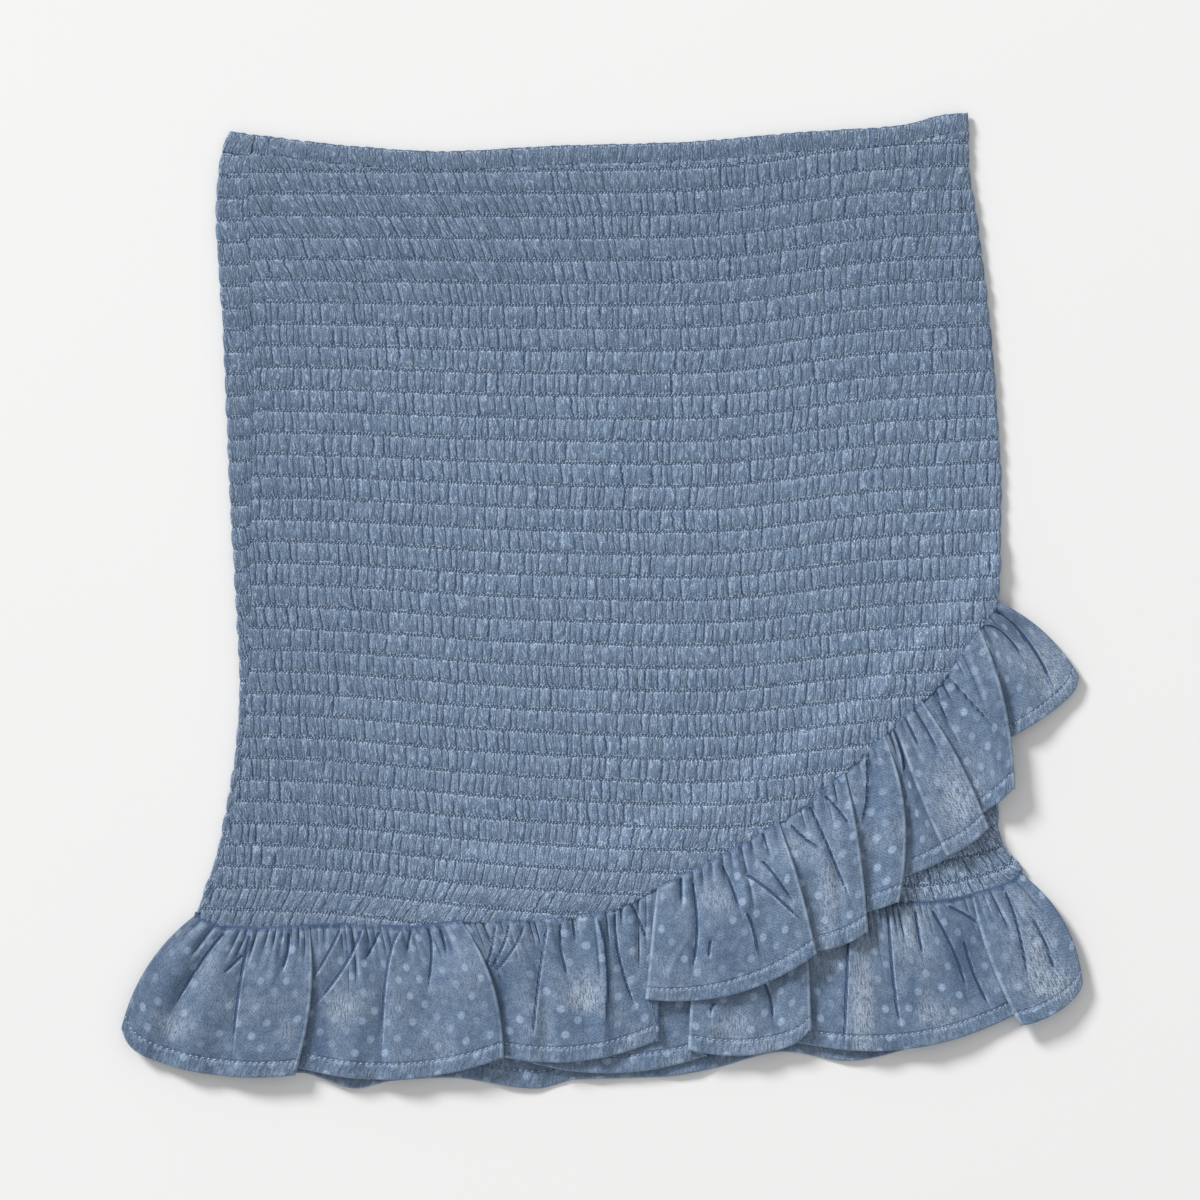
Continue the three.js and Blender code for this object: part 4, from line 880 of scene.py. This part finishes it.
def shirred_satin(finish):
    """Polyester satin gathered by elastic thread. It gives the eye soft pleats and a broken trace of dots, with
    narrow creases and fine grooves where the thread runs painted dark, a painted highlight on each crease's
    bright side and whitish streaks of painted highlight."""
    material, node = new_material("gathered_polyester_satin")
    cloth = node("UVMap", uv_map="cloth")
    phase, row, _ = node("SeparateXYZ", node("UVMap", uv_map="folds")).node.outputs
    strength, tone, _ = node("SeparateXYZ", node("UVMap", uv_map="marks")).node.outputs

    # Creases get a line of painted shade: a phase step is one pleat, 3.5 mm, so 0.085 is 0.3 mm.
    # A painted highlight lies on the bright side, right of each.
    wander = node("TexNoise", Vector=cloth, Scale=0.5, Detail=1.0, **PLANE)
    phase = node("Math", wander, 0.25, phase, **TIMES_PLUS)
    to_crease = node("Math", phase, 0.5, **WITHIN_STEP)
    crease = node("Math", node("MapRange", to_crease, 0.02, 0.085, 1.0, 0.0, **STEP), strength, **TIMES)
    share = node("Math", phase, **WITHIN_ONE)
    lit = node("MapRange", share, 0.06, 0.14, **STEP)
    for factor in (node("MapRange", share, 0.18, 0.34, 1.0, 0.0, **STEP), strength):
        lit = node("Math", lit, factor, **TIMES)

    # Painted shade in the groove that the elastic thread pulls in, and painted shade and highlights on small
    # gathers beside it, 0.8 mm wide, 1.2 mm long.
    to_line = node("Math", row, 0.5, **WITHIN_STEP)
    groove = node("MapRange", to_line, 0.02, 0.055, 1.1, 0.0, **STEP)
    fine = node("VectorMath", cloth, (1.25, 0.8, 1.0), **TIMES)
    tick = node("TexNoise", Vector=fine, Scale=1.0, Detail=0.0, **PLANE)
    near_line = node("MapRange", to_line, 0.06, 0.19, 1.0, 0.0, **STEP)
    dark_tick = node("Math", node("MapRange", tick, 0.55, 0.63, 0.0, 0.9, **STEP), near_line, **TIMES)
    light_tick = node("Math", node("MapRange", tick, 0.5, 0.42, 0.0, 1.3, **STEP), near_line, **TIMES)

    # Painted highlights in streaks that follow the pleats, 0.5 mm wide and about 4 mm long, with painted shade
    # where they are faint. High tone adds a painted glint to a pleat, low tone painted shade.
    along = node("CombineXYZ", node("Math", phase, 6.5, **TIMES), node("Math", row, 2.8, **TIMES))
    streak = node("TexNoise", Vector=along, Scale=1.0, Detail=1.5, Roughness=0.6, Distortion=0.35, **PLANE)
    light = node("MapRange", streak, 0.52, 0.68, 0.0, 0.85, **STEP)
    glint = node("Math", node("MapRange", streak, 0.46, 0.62, **STEP), node("MapRange", tone, 1.15, 1.6), **TIMES)
    for mask in (node("Math", lit, streak, **TIMES), light_tick, glint):
        light = node("Math", light, mask, **LARGER)
    dim = node("MapRange", streak, 0.46, 0.3, 0.0, 0.5, **STEP)
    dim = node("Math", dim, node("MapRange", tone, 0.5, 1.3, 0.4, 0.0), **LARGER)
    patch = node("TexNoise", Vector=cloth, Scale=0.035, Detail=3.0, **PLANE)
    speck = node("TexNoise", Vector=cloth, Scale=2.0, Detail=2.0, **PLANE)

    # The dots of the gathered cloth: 9 mm apart in the flat cloth, turned 45 degrees.
    flat = node("VectorMath", cloth, (1.45, 1.0, 1.0), **TIMES)
    turned = node("Mapping", flat, Rotation=(0, 0, math.pi / 4), Scale=(1 / 9,) * 3)
    dot = node("TexVoronoi", Vector=turned, Randomness=0.35, Scale=1.0, voronoi_dimensions="2D")
    dot = node("MapRange", dot, 0.26, 0.14, 0.0, 0.28, **STEP)

    # The colour: random patches of half shade, painted shade where the streaks are dim, the dots and the painted
    # highlights, then the painted shade of creases, grooves and small gathers.
    colour = node("MixRGB", patch, finish.shade, finish.cloth)
    for mask, paint in ((dim, finish.shade), (dot, finish.dot), (light, finish.shine)):
        colour = node("MixRGB", mask, colour, paint)
    # The speck noise is the satin's own grain; the factor after it adds painted shade towards the waist and the left.
    grain_and_shade = node("Math", node("MapRange", speck, 0.3, 0.7, 0.5, 1.5), painted_shade_gradient(node), **TIMES)
    colour = node("VectorMath", colour, Scale=grain_and_shade, operation="SCALE")
    dark = node("Math", node("Math", crease, groove, **LARGER), dark_tick, **LARGER)
    dark = node("Math", dark, 0.8, **TIMES)
    colour = node("MixRGB", dark, colour, finish.crease)

    depth = node("Math", dark, -1.0, 1.0, **TIMES_PLUS)
    for pattern, height in ((streak, 1.2), (speck, 0.3)):
        depth = node("Math", pattern, height, depth, **TIMES_PLUS)
    close_material(node, colour, depth, 0.0004, 0.5, 0.25)
    return material


def dotted_satin(finish):
    """Polyester satin with tone-on-tone dots, smooth between its gathers. It gives the eye pale dots and a fine
    diagonal twill, a whitish painted highlight where folds catch the light, and creases painted dark with a
    painted highlight on their bright side."""
    material, node = new_material("dotted_polyester_satin")
    cloth = node("UVMap", uv_map="cloth")
    signed, unsigned, _ = node("SeparateXYZ", node("UVMap", uv_map="creases")).node.outputs
    to_edge, to_hem, _ = node("SeparateXYZ", node("UVMap", uv_map="edges")).node.outputs
    phase, mark, _ = node("SeparateXYZ", node("UVMap", uv_map="gathers")).node.outputs
    painted_light_here = node("SeparateXYZ", node("UVMap", uv_map="painted_light"))
    speck = node("TexNoise", Vector=cloth, Scale=1.2, Detail=2.0, **PLANE)
    coarse = node("TexNoise", Vector=cloth, Scale=0.25, Detail=3.0, **PLANE)

    # Knife creases: a line of painted shade 0.8 mm wide, and a painted highlight beside it on the side that
    # stands up.
    ragged = node("Math", speck, 0.4, unsigned, **TIMES_PLUS)
    line = node("MapRange", ragged, 0.4, 1.1, 1.45, 0.0, **STEP)
    beside = node("Math", node("Math", signed, -0.75, **PLUS), **UNSIGNED)
    bright = node("MapRange", beside, 0.1, 0.5, 1.1, 0.0, **STEP)
    for factor in (node("MapRange", coarse, 0.4, 0.65, 0.2, 0.9, **STEP),
                   node("MapRange", unsigned, 0.9, 1.6, 1.0, 0.0, **STEP)):
        bright = node("Math", bright, factor, **TIMES)
    # A soft shade falls away from the crease's low side, over 3.5 mm.
    valley = node("MapRange", signed, -3.5, 0.0, 0.0, 0.4, **STEP)
    for factor in (node("MapRange", signed, 0.0, 0.5, 1.0, 0.0), node("MapRange", unsigned, 2.0, 4.0, 1.0, 0.0)):
        valley = node("Math", valley, factor, **TIMES)

    # Gathers: a line of painted shade in each; a phase step is one gather, about 5 mm. The painted highlight on
    # their bright side comes and goes.
    to_gather = node("Math", phase, 0.5, **WITHIN_STEP)
    gather = node("Math", node("MapRange", to_gather, 0.015, 0.1, 1.1, 0.0, **STEP), mark, **TIMES)
    share = node("Math", phase, **WITHIN_ONE)
    lit = node("MapRange", share, 0.1, 0.18, **STEP)
    for factor in (node("MapRange", share, 0.2, 0.36, 1.0, 0.0, **STEP), coarse, mark):
        lit = node("Math", lit, factor, **TIMES)

    # The seam: painted shade, a dark slot at the panel's edge and 1 mm of shade below it, broken by lighter
    # puckers about 1.1 mm apart.
    uneven = node("Math", speck, 2.0, to_hem, **TIMES_PLUS)
    seam = node("MapRange", uneven, 61.8, 62.7, 0.0, 1.2, **STEP)
    pull = node("TexNoise", Vector=node("VectorMath", cloth, (0.9, 0.1, 1.0), **TIMES), Scale=1.0, **PLANE)
    seam = node("Math", seam, node("MapRange", pull, 0.55, 0.45, 0.4, 1.0, **STEP), **TIMES)
    seam = node("Math", seam, node("MapRange", to_hem, 62.05, 62.5, 0.0, 1.2, **STEP), **LARGER)
    # The hem: painted shade in a groove 6.5 mm up, where the topstitching pulls, and slanting puckers below it,
    # painted lighter and darker and with painted highlights near the stitches.
    to_stitch = node("Math", node("Math", to_hem, -6.5, **PLUS), **UNSIGNED)
    groove = node("MapRange", to_stitch, 0.3, 1.1, 0.5, 0.0, **STEP)
    slant = node("Mapping", cloth, Rotation=(0, 0, 0.5), Scale=(0.75, 0.2, 1.0))
    pucker = node("TexNoise", Vector=slant, Scale=1.0, Detail=1.0, **PLANE)
    pucker = node("MapRange", pucker, 0.35, 0.65, -1.0, 1.0)
    pucker = node("Math", pucker, node("MapRange", to_hem, 6.2, 8.0, 1.0, 0.0, **STEP), **TIMES)
    near_stitch = node("MapRange", to_stitch, 0.6, 2.2, 0.5, 0.08, **STEP)
    pucker_highlight = node("Math", pucker, near_stitch, use_clamp=True, **TIMES)
    # The turned hem is two layers; its very edge, like a lobe's folded side, gets a painted highlight where the
    # cloth turns over.
    rim = node("MapRange", to_edge, 0.15, 0.6, 0.7, 0.0, **STEP)
    rim = node("Math", rim, node("MapRange", coarse, 0.3, 0.6, 0.3, 1.0), **TIMES)
    hem = node("MapRange", to_hem, 0.2, 0.8, 0.35, 0.0, **STEP)

    # 3.4 mm dots, 9 mm apart, their rows turned 45 degrees, fainter in some places than in others.
    turned = node("Mapping", cloth, Rotation=(0, 0, math.pi / 4), Scale=(1 / 9,) * 3)
    cell = node("TexVoronoi", Vector=turned, Randomness=0.3, Scale=1.0, voronoi_dimensions="2D")
    uneven = node("Math", speck, 0.08, cell, **TIMES_PLUS)
    own = node("MapRange", node("SeparateXYZ", cell.node.outputs["Color"]), To_Min=0.15)
    dot = node("Math", node("MapRange", uneven, 0.29, 0.17, **STEP), own, **TIMES)

    # Whitish painted highlight where folds catch the light: the patches, and fainter ones between them, broken
    # into streaks 0.7 mm wide down the cloth, with painted shade between the streaks.
    patch = node("TexNoise", Vector=cloth, Scale=0.045, Detail=2.0, **PLANE)
    spread = node("MapRange", patch, 0.5, 0.7, 0.0, 0.3, **STEP)
    spread = node("Math", spread, painted_light_here, use_clamp=True, **PLUS)
    along = node("VectorMath", cloth, (1.5, 0.28, 1.0), **TIMES)
    streak = node("TexNoise", Vector=along, Scale=1.0, Detail=4.0, Roughness=0.7, **PLANE)
    painted_light = node("Math", node("MapRange", streak, 0.38, 0.6, 0.0, 0.95, **STEP), spread, **TIMES)
    between = node("Math", node("MapRange", streak, 0.45, 0.32, 0.0, 0.35, **STEP), spread, **TIMES)
    # Painted shade in a hollow, where a patch of painted light is below 0.
    hollow = node("Math", painted_light_here, -0.75, use_clamp=True, **TIMES)
    # The real twill is 0.3 mm; it is drawn at 1.1 mm, so that it shows.
    twill = node("TexWave", Vector=node("Mapping", cloth, Rotation=(0, 0, -0.9)), Scale=0.28, Distortion=1.5,
                 Detail=2.0, Detail_Scale=1.2)

    # The colour: random patches of half shade, the dots, the whitish painted highlight, grain, then painted highlights
    # of creases, gathers, folded edges, the hem and its puckers, and painted shade of hollows, creases, grooves,
    # gathers and the seam.
    colour = node("MixRGB", node("MapRange", coarse, 0.32, 0.72), finish.shade, finish.cloth)
    for mask, paint in ((dot, finish.dot), (painted_light, finish.painted_light)):
        colour = node("MixRGB", mask, colour, paint)
    # Speck grain and twill are the satin's own; the hem's puckers add painted light and shade, and the last factor
    # painted shade towards the waist and the left.
    grain_and_shade = node("MapRange", speck, 0.3, 0.7, 0.75, 1.25)
    grain_and_shade = node("Math", grain_and_shade, node("MapRange", twill, To_Min=0.93, To_Max=1.07), **TIMES)
    grain_and_shade = node("Math", pucker, 0.07, grain_and_shade, **TIMES_PLUS)
    grain_and_shade = node("Math", grain_and_shade, painted_shade_gradient(node), **TIMES)
    colour = node("VectorMath", colour, Scale=grain_and_shade, operation="SCALE")
    for mask in (bright, lit, rim, hem, pucker_highlight):
        colour = node("MixRGB", mask, colour, finish.shine)
    for mask in (between, hollow, valley, groove, gather, line, seam):
        mask = node("Math", mask, 0.78, use_clamp=True, **TIMES)
        colour = node("MixRGB", mask, colour, finish.crease)

    depth = node("Math", node("Math", line, gather, **LARGER), groove, **LARGER)
    depth = node("Math", depth, -1.0, **TIMES)
    for pattern, height in ((twill, 0.12), (pucker, 0.25), (streak, 0.6)):
        depth = node("Math", pattern, height, depth, **TIMES_PLUS)
    close_material(node, colour, depth, 0.0004, 0.42, 0.3)
    return material


def thread(finish):
    """Spun polyester sewing thread: a dull twisted strand, a little paler than the cloth."""
    material, node = new_material("sewing_thread")
    # Twisted plies, about 0.5 mm from one to the next.
    twist = node("TexWave", Vector=node("TexCoord", out=3), Scale=800.0, Distortion=1.0, bands_direction="DIAGONAL")
    colour = node("MixRGB", node("MapRange", twist, To_Min=0.65), finish.cloth, finish.thread)
    close_material(node, colour, twist, 0.00002, 0.7, 0.2)
    return material


def painted_floor(stage):
    """Matt white paint, evenly pale."""
    material, node = new_material("matt_floor")
    uneven = node("TexNoise", Vector=node("TexCoord", out=3), Scale=3.0, Detail=2.0)
    level = node("MapRange", uneven, To_Min=0.99, To_Max=1.01)
    colour = node("VectorMath", stage.floor[:3], Scale=level, operation="SCALE")
    shader = node("BsdfPrincipled", Base_Color=colour, Roughness=0.9, Specular_IOR_Level=0.1)
    node("OutputMaterial", shader)
    return material


# ---------------------------------------------------------------- what a user may change
def length(name, description, default):
    """A size in metres."""
    return FloatProperty(name=name, description=description, default=default, min=0.0, unit="LENGTH",
                         subtype="DISTANCE")


def colour(name, description, hex_colour):
    """A colour, given as sRGB hex."""
    return FloatVectorProperty(name=name, description=description, size=4, subtype="COLOR", min=0, max=1,
                               default=(*linear(hex_colour), 1.0))


class SkirtSizes(bpy.types.PropertyGroup):
    """Sizes of the cloth and of its stitches"""
    puff: length("Puff", "Height of the pleats between two lines of shirring", 0.0008)
    pinch: length("Pinch", "How far the elastic thread pulls the cloth in", 0.0004)
    lining: length("Inner side", "Inner side of the shirred cloth, below its middle", 0.00075)
    pleat: length("Pleat spacing", "Mean step between two creases of the shirring", 0.0035)
    cloth: length("Cloth", "Thickness of the satin", 0.00045)
    lap_lift: length("Lap lift", "Height of a folded lap at a ruffle's hem", 0.0032)
    hem_depth: length("Hem", "Depth of the turned hem", 0.0065)
    stitch: length("Hem stitch", "Length of a stitch in the hem", 0.0019)
    shirring_stitch: length("Shirring stitch", "Length of a stitch of the elastic thread's upper side", 0.0009)


class SkirtFinish(bpy.types.PropertyGroup):
    """Colours of the satin and of its thread"""
    cloth: colour("Cloth", "Satin, dusty blue", "7389A4")
    shade: colour("Shade", "Satin where it lies in half shade", "5F7591")
    # Painted shade: the colour that creases, grooves, seams and hollows are darkened towards.
    crease: colour("Crease", "Bottom of a crease or a seam", "365075")
    shine: colour("Shine", "Satin where it catches the light", "A2B6CC")
    # Painted highlight: the whitish sheen where folds catch the light.
    painted_light: colour("Bloom", "Satin where it is creased pale", "B0BCCC")
    dot: colour("Dot", "Tone-on-tone dots", "9AB0CC")
    thread: colour("Thread", "Sewing thread", "BED0E4")


class StageSettings(bpy.types.PropertyGroup):
    """Floor, light and camera"""
    floor: colour("Floor", "Matt floor", "F7F7F7")
    key: FloatProperty(name="Key light", description="Power of the large light, upper left", default=1750.0,
                       unit="POWER")
    sky: FloatProperty(name="Fill", description="Strength of the even light all round", default=0.5)
    camera_height: length("Camera height", "Camera above the skirt", 2.4)
    frame_width: length("Frame width", "Width of the floor that the camera sees", 0.528)


# ---------------------------------------------------------------- pieces
FINISHES = {"shirred_satin": ("gathered_polyester_satin", shirred_satin),
            "dotted_satin": ("dotted_polyester_satin", dotted_satin)}
MADE = {}  # the grids that carry stitches, by the name of their piece


def dress(piece, slot, node=None, **sheet):
    """Rides a piece on the skirt; cloth stands for its solid, which is hidden. Its slot and sheet are not used."""
    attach(piece, "root")
    if node:
        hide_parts(node)


def cloth_piece(name, grid, finish, slot, node, **sheet):
    """Builds a piece of cloth from its grid in its slot's material, which the first such piece makes."""
    material, make = FINISHES[slot]
    piece = grid.build("satin_" + name, bpy.data.materials.get(material) or make(finish))
    dress(piece, slot, node, **sheet)
    MADE[name] = grid


class SkirtOperator:
    """What every operator of the skirt's pieces shares: its settings."""
    bl_options = {"REGISTER", "UNDO"}

    def execute(self, context):
        self.make(context.scene.skirt_sizes, context.scene.skirt_finish)
        return {"FINISHED"}


class SKIRT_OT_back_panel(SkirtOperator, bpy.types.Operator):
    """Shirred back panel: it lies on the surface and wraps round the left fold onto the front"""
    bl_idname = "skirt.back_panel"
    bl_label = "Back panel"

    def make(self, sizes, finish):
        def across(u, y):
            """From the end of the strip on the front, round the left fold and along the back, to half way
            round the right fold. The first tenth of the columns is closer, because that strip shows."""
            share = np.where(u < 0.1, u * 0.5, 0.05 + (u - 0.1) * (0.95 / 0.9))
            return mix(wrap_start(y)[0], folded_right(y) + FOLD_RADIUS * np.pi / 2, share)

        def lean(x, row):
            """Pleats lean by up to 5 degrees in a wave from row to row, and by 10 more towards the sides. On
            the strip that shows they lean by 2."""
            degrees = np.where(x < -160, -2, 5 * np.sin(row * 1.3) - 10 * x / 170)
            return back_pitch(x) * np.tan(np.radians(degrees))

        panel = Shirring(400, (-1, 35), across, back_first, back_pitch, panel_top, back_edge, wrap, lean, 3,
                         sizes.pleat / MM * 1.05, sizes, flip=True, dips=True)
        cloth_piece("back_panel", panel, finish, "shirred_satin", "back_panel", flat=(0.5, 0.345), held="laid",
                    area=0.163)


class SKIRT_OT_underlap_panel(SkirtOperator, bpy.types.Operator):
    """Shirred underlap of the wrapped front: it shows between the two ruffles on the right"""
    bl_idname = "skirt.underlap_panel"
    bl_label = "Underlap panel"

    def make(self, sizes, finish):
        tuck_from = overlap_edge(right_fold(0))

        def across(u, y):
            """From its left end behind the overlap to the right fold, short of it where the overlap covers
            the fold, and turned down round it below."""
            turned = smooth((tuck_from - 1 - y) / 4) * (UNDERLAP_SHORT + turn_length(FRONT_MID))
            return mix(UNDERLAP_LEFT, folded_right(y) - UNDERLAP_SHORT + turned, u)

        def place(q, y, height):
            """It lies in the lower layer of the front and turns down at the right fold."""
            return turn_down(q, y, FRONT_MID, height, folded_right(y))

        def lean(x, row):
            """Pleats lean 14 degrees, and up to 34 at the right end."""
            return UNDERLAP_PITCH * np.tan(np.radians(14 + 20 * smooth((x - 140) / 40)))

        # A tone of 1.8 gives the strip that shows a brighter painted glint on its pleats.
        panel = Shirring(330, (-16, 1), across, lambda x: underlap_edge(x) + UNDERLAP_FIRST,
                         lambda x: UNDERLAP_PITCH + 0 * x, lambda x: overlap_edge(x) + UNDERLAP_ABOVE_SEAM,
                         underlap_edge, place, lean, 5, sizes.pleat / MM * 1.15, sizes, tone=1.8)
        cloth_piece("underlap_panel", panel, finish, "shirred_satin", "front_underlap_panel", flat=(0.36, 0.155),
                    held="laid", area=0.018, rests_on=["satin_back_panel"])


class SKIRT_OT_overlap_panel(SkirtOperator, bpy.types.Operator):
    """Shirred overlap of the wrapped front, the largest piece that shows"""
    bl_idname = "skirt.overlap_panel"
    bl_label = "Overlap panel"

    def make(self, sizes, finish):
        def across(u, y):
            """From the left side seam to the end of the cloth that turns down at the right fold."""
            left, fold = left_fold(y) + side_strip(y) - SEAM_GAP, folded_right(y)
            return mix(left, fold + turn_length(overlap_mid(fold, y)), u)

        def place(q, y, height):
            """It turns down at the right fold from the height at which it lies there."""
            fold = folded_right(y)
            return turn_down(q, y, overlap_mid(np.minimum(q, fold), y), height, fold)

        def lean(x, row):
            """Pleats stand nearly straight but for the rows under the waist and those above the seam."""
            to_seam = (front_first(x) - overlap_edge(x)) / front_pitch(x) - row
            degrees = lean_top(x) * smooth((7 - row) / 4) + lean_low(x) * smooth((4.6 - to_seam) / 3.4)
            return front_pitch(x) * np.tan(np.radians(degrees - x / 40 + 5 * np.sin(row * 2.1 + x / 60)))

        # The inner rows are closer where the panel climbs onto the underlap.
        inner_rows = np.r_[0.8 * eased(15), np.linspace(0.8, 1, 17)[1:]]
        panel = Shirring(520, (-1, 35), across, front_first, front_pitch, panel_top,
                         lambda x: overlap_edge(x) - SEAM_COVER, place, lean, 7, sizes.pleat / MM, sizes,
                         inner_rows=inner_rows, dips=True)
        cloth_piece("overlap_panel", panel, finish, "shirred_satin", "front_overlap_panel", flat=(0.49, 0.35),
                    held="laid", area=0.135, rests_on=["satin_back_panel", "satin_underlap_panel"])


class SKIRT_OT_waist_casing(SkirtOperator, bpy.types.Operator):
    """Turned band round the waist"""
    bl_idname = "skirt.waist_casing"
    bl_label = "Waist casing"

    def make(self, sizes, finish):
        def across(u, y):
            """Once round the waist: from the side seam round both folds and back to it."""
            start, strip = wrap_start(y)
            rest = folded_right(y) - folded_left(y) - strip - SEAM_GAP
            return mix(start, folded_right(y) + np.pi * FOLD_RADIUS + rest, u)

        def top(q):
            """The waist's height over the place where the cloth lies."""
            return waist(wrap(q, WAIST_Y, 0.0)[..., 0])

        def lean(x, row):
            """Pleats lean up to 8 degrees, in waves."""
            return CASING_DEPTH * np.tan(np.radians(8 * np.sin(x / 23)))

        band = Shirring(980, (0, 1), across, top, lambda q: CASING_DEPTH + 0 * q, top,
                        lambda q: top(q) - CASING_DEPTH, wrap, lean, 9, sizes.pleat / MM * 0.95, sizes,
                        flip=True, inner_rows=eased(4))
        cloth_piece("waist_casing", band, finish, "shirred_satin", "waist_casing", flat=(0.86, 0.01), held="laid")


class SKIRT_OT_back_ruffle(SkirtOperator, bpy.types.Operator):
    """Gathered ruffle on the back panel's lower edge"""
    bl_idname = "skirt.back_ruffle"
    bl_label = "Back ruffle"

    def make(self, sizes, finish):
        cloth_piece("back_ruffle", BackRuffle(sizes), finish, "dotted_satin", "back_ruffle", flat=(0.47, 0.0685),
                    held="gathered")


class SKIRT_OT_front_ruffles(SkirtOperator, bpy.types.Operator):
    """The two gathered ruffles of the wrapped front, with their folded laps"""
    bl_idname = "skirt.front_ruffles"
    bl_label = "Front ruffles"

    def make(self, sizes, finish):
        under = Ruffle(UNDERLAP_LOBES, underlap_edge, lambda x, y: FRONT_MID + 0 * x, sizes, 21, 2.9)
        over = Ruffle(OVERLAP_LOBES, overlap_edge, overlap_mid, sizes, 31, 2.9)
        cloth_piece("underlap_ruffle", under, finish, "dotted_satin", "underlap_ruffle", flat=(0.37, 0.0685),
                    held="gathered", rests_on=["satin_back_ruffle"])
        cloth_piece("overlap_ruffle", over, finish, "dotted_satin", "overlap_ruffle", flat=(0.66, 0.0685),
                    held="gathered", rests_on=["satin_underlap_ruffle", "satin_back_ruffle"])


class SKIRT_OT_stitching(SkirtOperator, bpy.types.Operator):
    """Topstitching of the three hems, and the upper thread of every line of shirring"""
    bl_idname = "skirt.stitching"
    bl_label = "Stitching"

    def make(self, sizes, finish):
        material = thread(finish)
        for kind, slot, names in (("hem_thread", "dotted_satin", ("back_ruffle", "underlap_ruffle", "overlap_ruffle")),
                                  ("elastic_thread", "shirred_satin", ("back_panel", "underlap_panel",
                                                                       "overlap_panel"))):
            for name in names:
                points, faces = MADE[name].sewn()
                dress(add_object(f"{kind}_{name}", points, [faces], material), slot)


class SKIRT_OT_stage(bpy.types.Operator):
    """Pale floor, soft light and the camera straight above"""
    bl_idname = "skirt.stage"
    bl_label = "Stage"
    bl_options = {"REGISTER", "UNDO"}

    def execute(self, context):
        scene, stage = context.scene, context.scene.skirt_stage
        scene.view_settings.view_transform = "Standard"
        half, level = 4000.0, -0.15
        corners = np.array([[-half, -half, level], [half, -half, level], [half, half, level], [-half, half, level]])
        floor = add_object("floor", corners, [np.array([[0, 1, 2, 3]])], painted_floor(stage))

        world = bpy.data.worlds.new("even_light")
        world.use_nodes = True
        background = world.node_tree.nodes["Background"]
        background.inputs["Color"].default_value = (1.0, 1.0, 1.0, 1.0)
        background.inputs["Strength"].default_value = stage.sky
        scene.world = world

        lamp = bpy.data.lights.new("key_light", "AREA")
        lamp.shape, lamp.size, lamp.energy = "DISK", 3.6, stage.key
        lamp.color = (1.0, 0.99, 0.98)
        key = bpy.data.objects.new("key_light", lamp)
        key.location = (-8.0, 8.7, 6.3)
        key.rotation_euler = key.location.to_track_quat("Z", "Y").to_euler()
        scene.collection.objects.link(key)

        view = bpy.data.cameras.new("camera")
        view.sensor_width = 36.0
        view.lens = view.sensor_width * stage.camera_height / stage.frame_width
        camera = bpy.data.objects.new("camera", view)
        camera.location = (0.0, 0.0, stage.camera_height)
        scene.collection.objects.link(camera)
        scene.camera = camera
        return {"FINISHED"}


class SKIRT_PT_panel(bpy.types.Panel):
    """Sizes, finishes and the button for each piece"""
    bl_idname = "SKIRT_PT_panel"
    bl_label = "Ruffled mini skirt"
    bl_space_type = "VIEW_3D"
    bl_region_type = "UI"
    bl_category = "Skirt"

    def draw(self, context):
        for group in (context.scene.skirt_sizes, context.scene.skirt_finish, context.scene.skirt_stage):
            box = self.layout.box()
            for name in group.__annotations__:
                box.prop(group, name)
        for step in STEPS:
            self.layout.operator(step.bl_idname)


STEPS = (SKIRT_OT_back_panel, SKIRT_OT_underlap_panel, SKIRT_OT_overlap_panel, SKIRT_OT_waist_casing,
         SKIRT_OT_back_ruffle, SKIRT_OT_front_ruffles, SKIRT_OT_stitching, SKIRT_OT_stage)
GROUPS = {"skirt_sizes": SkirtSizes, "skirt_finish": SkirtFinish, "skirt_stage": StageSettings}


def register():
    """Adds the classes to Blender, and the three groups of settings to its scenes."""
    for cls in (*GROUPS.values(), *STEPS, SKIRT_PT_panel):
        bpy.utils.register_class(cls)
    for name, group in GROUPS.items():
        setattr(bpy.types.Scene, name, PointerProperty(type=group))


def unregister():
    """Takes away what register adds."""
    for name in GROUPS:
        delattr(bpy.types.Scene, name)
    for cls in reversed((*GROUPS.values(), *STEPS, SKIRT_PT_panel)):
        bpy.utils.unregister_class(cls)


def main():
    """Builds the skirt and its stage."""
    register()
    for step in STEPS:
        group, name = step.bl_idname.split(".")
        getattr(getattr(bpy.ops, group), name)()


if __name__ == "__main__":
    main()
